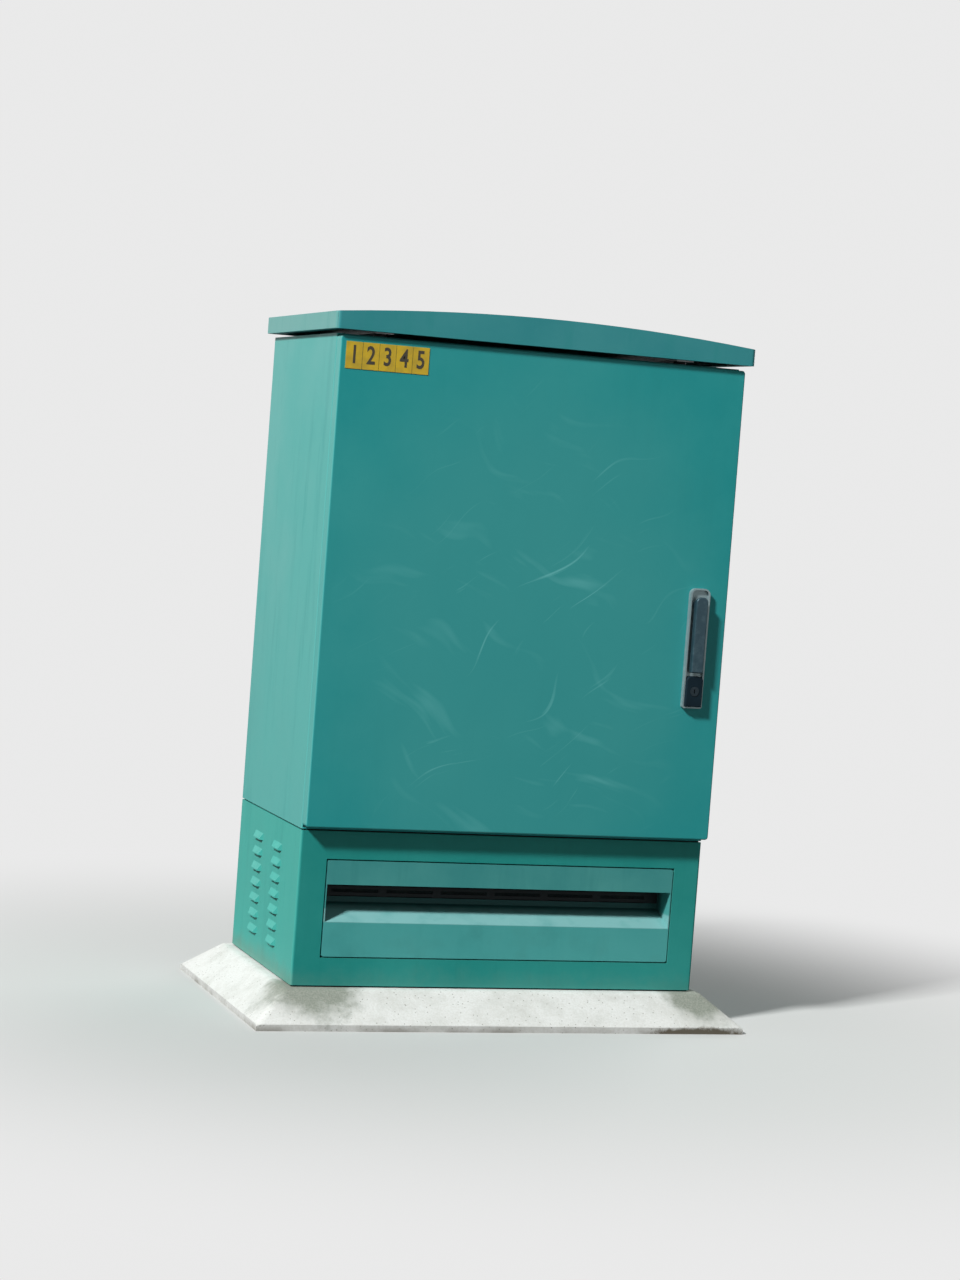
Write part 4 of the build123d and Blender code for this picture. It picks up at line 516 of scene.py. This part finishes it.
def filter_fleece():
    """Needled polyester fleece, matt, with short tangled fibres and dust in them; its charcoal grey is
    painted shade, keeping the slot in front of it dark.
    """
    material, tree, surface, place = new_finish("polyester_fleece", Roughness=0.95, Specular_IOR_Level=0.2)
    # Fibres lie mostly along the mat, and are drawn coarser than they are, so that they show.
    combed = add_node(tree, "ShaderNodeMapping", Vector=place, Scale=(0.35, 1.0, 1.0))
    fibres = add_node(
        tree, "ShaderNodeTexNoise", Vector=combed, Scale=1 / (1.5 * MM), Detail=4, Roughness=0.7
    )
    strands = add_node(tree, "ShaderNodeMapRange", Value=fibres, From_Min=0.35, From_Max=0.65)
    # Charcoal grey: painted shade for the slot behind the louvred cover.
    base = add_node(
        tree,
        "ShaderNodeMix",
        data_type="RGBA",
        Factor_Float=strands,
        A_Color=linear("#15191b"),
        B_Color=linear("#2c3234"),
    )
    base, _ = clouded(tree, place, base, linear("#4a5049"), 35 * MM, 0.45, 0.8, most=0.4)
    tree.links.new(base, surface.inputs["Base Color"])
    relief = add_node(tree, "ShaderNodeBump", Height=fibres, Strength=0.8, Distance=0.6 * MM)
    tree.links.new(relief, surface.inputs["Normal"])
    return material


def die_casting(name, colour, worn, rough=0.4):
    """Painted zinc die casting, satin, rubbed paler where hands and weather reach it."""
    material, tree, surface, place = new_finish(name, Metallic=0.35)
    base, wear = clouded(
        tree, place, linear(colour), linear(worn), 14 * MM, 0.48, 0.68, most=0.6, rough=0.7
    )
    tree.links.new(base, surface.inputs["Base Color"])
    gloss = add_node(
        tree, "ShaderNodeMapRange", Value=wear, From_Max=0.6, To_Min=rough - 0.06, To_Max=rough + 0.12
    )
    tree.links.new(gloss, surface.inputs["Roughness"])
    # The casting's skin is drawn coarser than it is, so that it shows.
    grained(tree, surface, place, 1.8 * MM, detail=2, strength=0.4, depth=0.05 * MM)
    return material


def drawn_brass():
    """Drawn brass bar, bare: bright gold with brown patches, dulled by handling."""
    material, tree, surface, place = new_finish("drawn_brass", Metallic=1.0)
    base, tarnish = clouded(tree, place, linear("#c9a456"), linear("#8f7238"), 22 * MM, 0.42, 0.7)
    tree.links.new(base, surface.inputs["Base Color"])
    gloss = add_node(tree, "ShaderNodeMapRange", Value=tarnish, To_Min=0.24, To_Max=0.46)
    tree.links.new(gloss, surface.inputs["Roughness"])
    return material


def tile_enamel(settings):
    """Yellow stove enamel on small steel tiles: a smooth gloss, browner where the sun has chalked it."""
    material, tree, surface, place = new_finish("yellow_enamel", Roughness=0.35)
    enamel, chalked = linear(settings.enamel), linear(settings.enamel_faded)
    base, _ = clouded(tree, place, enamel, chalked, 16 * MM, 0.4, 0.68, most=0.6)
    tree.links.new(base, surface.inputs["Base Color"])
    return material


def pale_floor(stage):
    """A matt pale studio floor that runs out into the backdrop a short way from the object."""
    material, tree, surface, place = new_finish("pale_floor", Roughness=0.9)
    camera_ray = add_node(tree, "ShaderNodeLightPath")
    tone = add_node(
        tree,
        "ShaderNodeMix",
        data_type="RGBA",
        Factor_Float=camera_ray,
        A_Color=linear(stage.bounce),
        B_Color=linear(stage.floor),
    )
    tree.links.new(tone, surface.inputs["Base Color"])
    reach = add_node(tree, "ShaderNodeVectorMath", operation="LENGTH", Vector=place)
    far = add_node(
        tree, "ShaderNodeMapRange", interpolation_type="SMOOTHSTEP", Value=reach, From_Min=0.6, From_Max=1.9
    )
    share = add_node(tree, "ShaderNodeMath", operation="MULTIPLY", Value=far, Value_001=camera_ray)
    glow = add_node(tree, "ShaderNodeEmission", Color=(1, 1, 1, 1), Strength=stage.backdrop)
    look = add_node(tree, "ShaderNodeMixShader", Fac=share, Shader=surface.outputs[0], Shader_001=glow)
    tree.links.new(look, tree.nodes["Material Output"].inputs["Surface"])
    return material


def coat_nodes(material, names):
    """Puts one finish on CAD nodes."""
    for name in names:
        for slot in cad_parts[name].material_slots:
            slot.material = material


def select_only(piece):
    """Leaves one object selected and active."""
    bpy.ops.object.select_all(action="DESELECT")
    piece.select_set(True)
    bpy.context.view_layer.objects.active = piece


def settle(piece, name, material, body):
    """Applies a piece's place into its mesh, gives it its finish and hangs it on a CAD body."""
    select_only(piece)
    bpy.ops.object.transform_apply(location=True, rotation=True, scale=True)
    piece.name = name
    piece.data.name = name
    piece.data.materials.clear()
    piece.data.materials.append(material)
    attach(piece, body)


def join(pieces):
    """Joins several mesh objects into one."""
    bpy.ops.object.select_all(action="DESELECT")
    for piece in pieces:
        piece.select_set(True)
    bpy.context.view_layer.objects.active = pieces[0]
    bpy.ops.object.join()
    return bpy.context.view_layer.objects.active


class PaintSettings(bpy.types.PropertyGroup):
    """Colours and wear of the painted steel"""

    paint: StringProperty(name="Paint", description="Powder coat colour as sRGB hex", default="#1f9596")
    faded: StringProperty(
        name="Faded paint", description="Paler clouds in the coat as sRGB hex", default="#359f9e"
    )
    # Paler coat for the faces turned to the key lamp: partly chalking, partly painted sunlight.
    chalk_and_sunlight: StringProperty(
        name="Chalked and sunlit paint", description="Coat on the sunny sides as sRGB hex", default="#62b2ab"
    )
    worn: StringProperty(
        name="Worn paint", description="Greyer middle of the door as sRGB hex", default="#409d9c"
    )
    grime: StringProperty(
        name="Rain streaks", description="Colour of the rain streaks as sRGB hex", default="#1e8a87"
    )
    roof: StringProperty(
        name="Roof paint", description="Chalked coat of the roof as sRGB hex", default="#328c91"
    )
    base: StringProperty(
        name="Base paint", description="Greener coat of the base as sRGB hex", default="#1e8d86"
    )
    # Paler base coat for the faces turned to the key lamp: partly chalking, partly painted sunlight.
    base_chalk_and_sunlight: StringProperty(
        name="Chalked and sunlit base", description="Sunny sides of the base as sRGB hex", default="#4fb0a4"
    )
    dirt: StringProperty(
        name="Splashed dirt", description="Dirt along the base's foot as sRGB hex", default="#6f9a8b"
    )
    cover: StringProperty(
        name="Cover paint", description="Greyer coat of the louvred cover as sRGB hex", default="#3d918f"
    )
    dust: StringProperty(
        name="Dust", description="Dust on the cover's ledge as sRGB hex", default="#81bab9"
    )
    scuffs: FloatProperty(
        name="Scuffs", description="Strength of the rubbed marks on the door", default=0.45, min=0, max=1
    )


class PlinthSettings(bpy.types.PropertyGroup):
    """Colours of the concrete plinth"""

    whitewash: StringProperty(
        name="Whitewash", description="Whitewashed concrete as sRGB hex", default="#e6e8e5"
    )
    bare: StringProperty(
        name="Bare concrete", description="Weathered concrete as sRGB hex", default="#b3b5ac"
    )
    damp: StringProperty(name="Damp stain", description="Grey damp stains as sRGB hex", default="#828a7e")
    soil: StringProperty(
        name="Soil", description="Earth splashed on the foot as sRGB hex", default="#6d675a"
    )


class FittingSettings(bpy.types.PropertyGroup):
    """Number tiles and filter mat"""

    enamel: StringProperty(
        name="Tile enamel", description="Number tile enamel as sRGB hex", default="#cfad1c"
    )
    enamel_faded: StringProperty(
        name="Faded enamel", description="Chalked enamel as sRGB hex", default="#a98f28"
    )
    digits: StringProperty(name="Numbers", description="Plain numbers on the tiles", default="12345")
    digit_height: FloatProperty(
        name="Number height", description="Height of a number", default=0.034, unit="LENGTH"
    )
    filter_thickness: FloatProperty(
        name="Filter mat", description="Thickness of the filter mat", default=0.010, unit="LENGTH"
    )


class StageSettings(bpy.types.PropertyGroup):
    """Camera, lamps, floor and backdrop"""

    place: FloatVectorProperty(
        name="Camera",
        description="Where the camera stands",
        default=(-1.8456, -5.2204, 1.0272),
        subtype="TRANSLATION",
    )
    yaw: FloatProperty(
        name="Yaw",
        description="Turn of the view to the right",
        default=math.radians(19.42),
        subtype="ANGLE",
    )
    pitch: FloatProperty(
        name="Pitch", description="Tilt of the view", default=math.radians(-3.29), subtype="ANGLE"
    )
    roll: FloatProperty(
        name="Roll", description="Lean of the camera", default=math.radians(4.34), subtype="ANGLE"
    )
    lens: FloatProperty(name="Lens", description="Focal length in millimetres", default=80.33, min=10)
    key_power: FloatProperty(
        name="Key light", description="Power of the key lamp", default=4950, subtype="POWER"
    )
    fill_power: FloatProperty(
        name="Fill light", description="Power of the fill lamp", default=16, subtype="POWER"
    )
    back_power: FloatProperty(
        name="Back light", description="Power of the lamp behind", default=230, subtype="POWER"
    )
    ambient: FloatProperty(name="Ambient", description="Strength of the light from all round", default=0.07)
    backdrop: FloatProperty(name="Backdrop", description="Brightness of the backdrop", default=0.82)
    floor: StringProperty(name="Floor colour", description="Studio floor as sRGB hex", default="#cfd1cf")
    bounce: StringProperty(
        name="Floor bounce", description="Tone the floor lights the object with", default="#5f615f"
    )
    floor_size: FloatProperty(name="Floor", description="Width of the floor", default=24, unit="LENGTH")


class CABINET_OT_painted_steel(bpy.types.Operator):
    """Coats the body, door, roof and base in weathered powder coat"""

    bl_idname = "cabinet.painted_steel"
    bl_label = "Painted Steel"

    def execute(self, context):
        paint = context.scene.cabinet_paint
        coat = powder_coat("teal_powder_coat", paint.paint, paint.faded, paint.grime, paint.chalk_and_sunlight)
        coat_nodes(coat, ["body_shell", "door_stiffener_left", "door_stiffener_right"])
        # The roof's faces turned to the key lamp get a paler coat: partly chalking, partly painted
        # sunlight.
        roof_coat = powder_coat(
            "chalked_powder_coat", paint.roof, faded="#44989b", grime=paint.grime, chalk_and_sunlight="#72ada7"
        )
        coat_nodes(roof_coat, ["roof"])
        coat_nodes(splashed_coat(paint), ["base_shell"])
        coat_nodes(dusty_coat(paint), ["louvre_cover"])
        coat_nodes(scuffed_coat(paint), ["door_shell"])
        dark_coat = powder_coat(
            "black_textured_coat", "#1d2124", faded="#2a2f32", grime="#14171a", rough=0.55
        )
        coat_nodes(dark_coat, ["vent_screen", "equipment_case"])
        return {"FINISHED"}


class CABINET_OT_concrete_plinth(bpy.types.Operator):
    """Gives the plinth its whitewashed concrete"""

    bl_idname = "cabinet.concrete_plinth"
    bl_label = "Concrete Plinth"

    def execute(self, context):
        coat_nodes(cast_concrete(context.scene.cabinet_plinth), ["plinth"])
        return {"FINISHED"}


class CABINET_OT_hardware(bpy.types.Operator):
    """Finishes the metal fittings, seals and the rack"""

    bl_idname = "cabinet.hardware"
    bl_label = "Hardware and Seals"

    def execute(self, context):
        coat_nodes(
            plated_steel(),
            [
                "anchor_bolts", "body_bolts", "roof_bolts", "panel_screws", "earth_screws",
                "roof_rails", "gland_plate", "terminal_frame", "din_rail",
                "rack_post_left", "rack_post_right", "hinge_brackets", "hinge_pins", "door_hinges",
                "latch_case", "latch_pinion", "lever_pin", "upper_rod", "lower_rod", "rod_keepers",
            ],
        )
        coat_nodes(plated_steel("black_oxide_steel", "#24272a", "#34383b"), ["cover_screws"])
        coat_nodes(foam_rubber(), ["base_bed", "body_seal", "door_seal"])
        coat_nodes(drawn_brass(), ["earth_bar"])
        coat_nodes(mill_aluminium(), ["fan_panel"])
        return {"FINISHED"}


class CABINET_OT_electrics(bpy.types.Operator):
    """Finishes the moulded parts inside the cabinet"""

    bl_idname = "cabinet.electrics"
    bl_label = "Electrical Fittings"

    def execute(self, context):
        black = moulded_plastic("black_polyamide", "#17191b", "#22262a", rough=0.55)
        coat_nodes(
            black,
            [
                "cable_glands", "gland_nuts", "roof_spacers", "rod_guides",
                "fan_rotor_left", "fan_rotor_right",
                "breaker_toggle_1", "breaker_toggle_2", "breaker_toggle_3",
            ],
        )
        grey = moulded_plastic("grey_abs", "#8b9093", "#7d8386")
        coat_nodes(grey, ["main_switch", "cable_duct", "document_pocket"])
        pale = moulded_plastic("pale_polycarbonate", "#d5d5cd", "#c9c9bf")
        coat_nodes(pale, ["terminal_blocks", "breaker_1", "breaker_2", "breaker_3"])
        red = moulded_plastic("red_melamine", "#a52a22", "#8f231d", rough=0.3)
        coat_nodes(red, ["main_switch_knob", "earth_insulators"])
        return {"FINISHED"}


class CABINET_OT_swing_handle(bpy.types.Operator):
    """Finishes the swing handle and its lock"""

    bl_idname = "cabinet.swing_handle"
    bl_label = "Swing Handle"

    def execute(self, context):
        grey = die_casting("grey_die_casting", "#8aa0a4", "#a6b6b8")
        coat_nodes(grey, ["handle_dish"])
        dark = die_casting("dark_die_casting", "#2c4752", "#4d656e")
        coat_nodes(dark, ["swing_lever", "handle_rotor"])
        dull = die_casting("dull_die_casting", "#172831", "#2b3b43", rough=0.45)
        coat_nodes(dull, ["lock_core"])
        black = moulded_plastic(
            "matt_black_polyamide", "#101f28", "#182a34", rough=0.55, shine=0.1
        )
        coat_nodes(black, ["lock_housing"])
        return {"FINISHED"}


class CABINET_OT_number_tiles(bpy.types.Operator):
    """Gives the enamel tiles their finish and plain numbers"""

    bl_idname = "cabinet.number_tiles"
    bl_label = "Number Tiles"

    def execute(self, context):
        fitting = context.scene.cabinet_fitting
        coat_nodes(tile_enamel(fitting), ["number_tiles"])
        black = moulded_plastic("black_abs", "#2a2412", "#352e18", rough=0.3)
        # The font's size is 1.35 times the height of its figures.
        size_over_height = 1.35
        relief = 0.3 * MM
        boldness = 0.8 * MM
        narrow = 0.74
        low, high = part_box("number_tiles")
        face = low[1]
        pitch = (high[0] - low[0]) / len(fitting.digits)
        middle_z = (low[2] + high[2]) / 2
        digits = []
        for index, digit in enumerate(fitting.digits):
            middle_x = low[0] + (index + 0.5) * pitch
            bpy.ops.object.select_all(action="DESELECT")
            bpy.ops.object.text_add(
                location=(middle_x, face, middle_z), rotation=(math.radians(90), 0, 0)
            )
            text = bpy.context.view_layer.objects.active
            text.data.body = digit
            text.data.align_x = "CENTER"
            text.data.align_y = "CENTER"
            text.data.size = fitting.digit_height * size_over_height
            text.data.extrude = relief
            text.data.offset = boldness
            text.data.resolution_u = 4
            text.scale = (narrow, 1, 1)
            bpy.ops.object.convert(target="MESH")
            digits.append(bpy.context.view_layer.objects.active)
        settle(join(digits), "tile_numbers", black, "door")
        return {"FINISHED"}


class CABINET_OT_filter_mat(bpy.types.Operator):
    """Lays a fleece filter mat with a welded rim against the back of the vent screen"""

    bl_idname = "cabinet.filter_mat"
    bl_label = "Filter Mat"

    def execute(self, context):
        fitting = context.scene.cabinet_fitting
        low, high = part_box("vent_screen")
        gap = 0.2 * MM
        rim = 7 * MM
        thickness = fitting.filter_thickness
        rim_depth = thickness / 3
        centre = ((low[0] + high[0]) / 2, high[1] + gap + rim_depth / 2, (low[2] + high[2]) / 2)
        bpy.ops.object.select_all(action="DESELECT")
        bpy.ops.mesh.primitive_cube_add(size=1, location=centre)
        mat = bpy.context.view_layer.objects.active
        mat.scale = (high[0] - low[0] - 2 * gap, rim_depth, high[2] - low[2] - 2 * gap)
        bpy.ops.object.transform_apply(location=True, rotation=True, scale=True)
        bpy.ops.object.mode_set(mode="EDIT")
        bpy.ops.mesh.select_mode(type="FACE")
        bpy.ops.mesh.select_all(action="DESELECT")
        bpy.ops.object.mode_set(mode="OBJECT")
        for face in mat.data.polygons:
            face.select = face.normal.y > 0.9
        bpy.ops.object.mode_set(mode="EDIT")
        bpy.ops.mesh.inset(thickness=rim)
        bpy.ops.mesh.inset(thickness=rim / 2, depth=thickness - rim_depth)
        bpy.ops.object.mode_set(mode="OBJECT")
        soft = mat.modifiers.new("soft edges", "BEVEL")
        soft.width = 0.8 * MM
        soft.segments = 3
        bpy.ops.object.modifier_apply(modifier=soft.name)
        bpy.ops.object.shade_smooth_by_angle(angle=math.radians(50))
        settle(mat, "filter_mat", filter_fleece(), "cabinet")
        return {"FINISHED"}


class CABINET_OT_stage(bpy.types.Operator):
    """Sets the pale floor, the lamps and the camera"""

    bl_idname = "cabinet.stage"
    bl_label = "Stage"

    def execute(self, context):
        stage = context.scene.cabinet_stage
        bpy.ops.object.select_all(action="DESELECT")
        bpy.ops.mesh.primitive_plane_add(size=stage.floor_size, location=(0, 0, 0))
        floor = bpy.context.view_layer.objects.active
        floor.name = "floor"
        floor.data.materials.append(pale_floor(stage))

        world = bpy.data.worlds.new("studio")
        world.use_nodes = True
        context.scene.world = world
        tree = world.node_tree
        backdrop = tree.nodes["Background"]
        backdrop.inputs["Color"].default_value = (1, 1, 1, 1)
        path = add_node(tree, "ShaderNodeLightPath").node
        seen = add_node(
            tree,
            "ShaderNodeMath",
            operation="MAXIMUM",
            Value=path.outputs["Is Camera Ray"],
            Value_001=path.outputs["Is Glossy Ray"],
        )
        seen = add_node(
            tree,
            "ShaderNodeMath",
            operation="MAXIMUM",
            Value=seen,
            Value_001=path.outputs["Is Transmission Ray"],
        )
        strength = add_node(
            tree, "ShaderNodeMapRange", Value=seen, To_Min=stage.ambient, To_Max=stage.backdrop
        )
        tree.links.new(strength, backdrop.inputs["Strength"])

        # The key lamp is high, far off and small, so the overhangs throw short clear shades.
        aim = Vector((0, 0, 0.7))
        for name, power, spot, size in (
            ("key_lamp", stage.key_power, (-13.28, -7.96, 13.04), 2.2),
            ("fill_lamp", stage.fill_power, (2.5, -5.0, 2.2), 4.0),
            ("back_lamp", stage.back_power, (5.5, 4.3, 2.8), 5.0),
        ):
            bpy.ops.object.light_add(type="AREA", location=spot)
            lamp = bpy.context.view_layer.objects.active
            lamp.name = name
            lamp.data.energy = power
            lamp.data.size = size
            lamp.rotation_euler = (aim - Vector(spot)).to_track_quat("-Z", "Y").to_euler()

        # The camera looks along forward, and leans to one side about it.
        level = Vector((math.sin(stage.yaw), math.cos(stage.yaw), 0))
        forward = level * math.cos(stage.pitch) + Vector((0, 0, math.sin(stage.pitch)))
        right = Vector((math.cos(stage.yaw), -math.sin(stage.yaw), 0))
        up = right.cross(forward)
        lean_right = math.cos(stage.roll) * right + math.sin(stage.roll) * up
        lean_up = -math.sin(stage.roll) * right + math.cos(stage.roll) * up
        bpy.ops.object.camera_add()
        camera = bpy.context.view_layer.objects.active
        turn = Matrix((lean_right, lean_up, -forward)).transposed()
        camera.matrix_world = Matrix.Translation(stage.place) @ turn.to_4x4()
        camera.data.lens = stage.lens
        camera.data.sensor_width = 36
        context.scene.camera = camera
        context.scene.view_settings.view_transform = "Standard"
        return {"FINISHED"}


class CABINET_PT_panel(bpy.types.Panel):
    """Lists the cabinet's pieces and settings"""

    bl_idname = "CABINET_PT_panel"
    bl_label = "Utility Cabinet"
    bl_space_type = "VIEW_3D"
    bl_region_type = "UI"
    bl_category = "Cabinet"

    def draw(self, context):
        layout = self.layout
        for operator in OPERATORS:
            layout.operator(operator.bl_idname)
        for group, settings in SETTINGS.items():
            panel_box = layout.box()
            for name in settings.__annotations__:
                panel_box.prop(getattr(context.scene, group), name)


SETTINGS = {
    "cabinet_paint": PaintSettings,
    "cabinet_plinth": PlinthSettings,
    "cabinet_fitting": FittingSettings,
    "cabinet_stage": StageSettings,
}
OPERATORS = (
    CABINET_OT_painted_steel,
    CABINET_OT_concrete_plinth,
    CABINET_OT_hardware,
    CABINET_OT_electrics,
    CABINET_OT_swing_handle,
    CABINET_OT_number_tiles,
    CABINET_OT_filter_mat,
    CABINET_OT_stage,
)


def register():
    """Registers the settings, the operators and the panel."""
    for kind in (*SETTINGS.values(), *OPERATORS, CABINET_PT_panel):
        bpy.utils.register_class(kind)
    for group, settings in SETTINGS.items():
        setattr(bpy.types.Scene, group, PointerProperty(type=settings))


def unregister():
    """Removes what register added."""
    for group in SETTINGS:
        delattr(bpy.types.Scene, group)
    for kind in reversed((*SETTINGS.values(), *OPERATORS, CABINET_PT_panel)):
        bpy.utils.unregister_class(kind)


def main():
    """Builds every piece in order."""
    register()
    for operator in OPERATORS:
        group, name = operator.bl_idname.split(".")
        getattr(getattr(bpy.ops, group), name)()


if __name__ == "__main__":
    main()
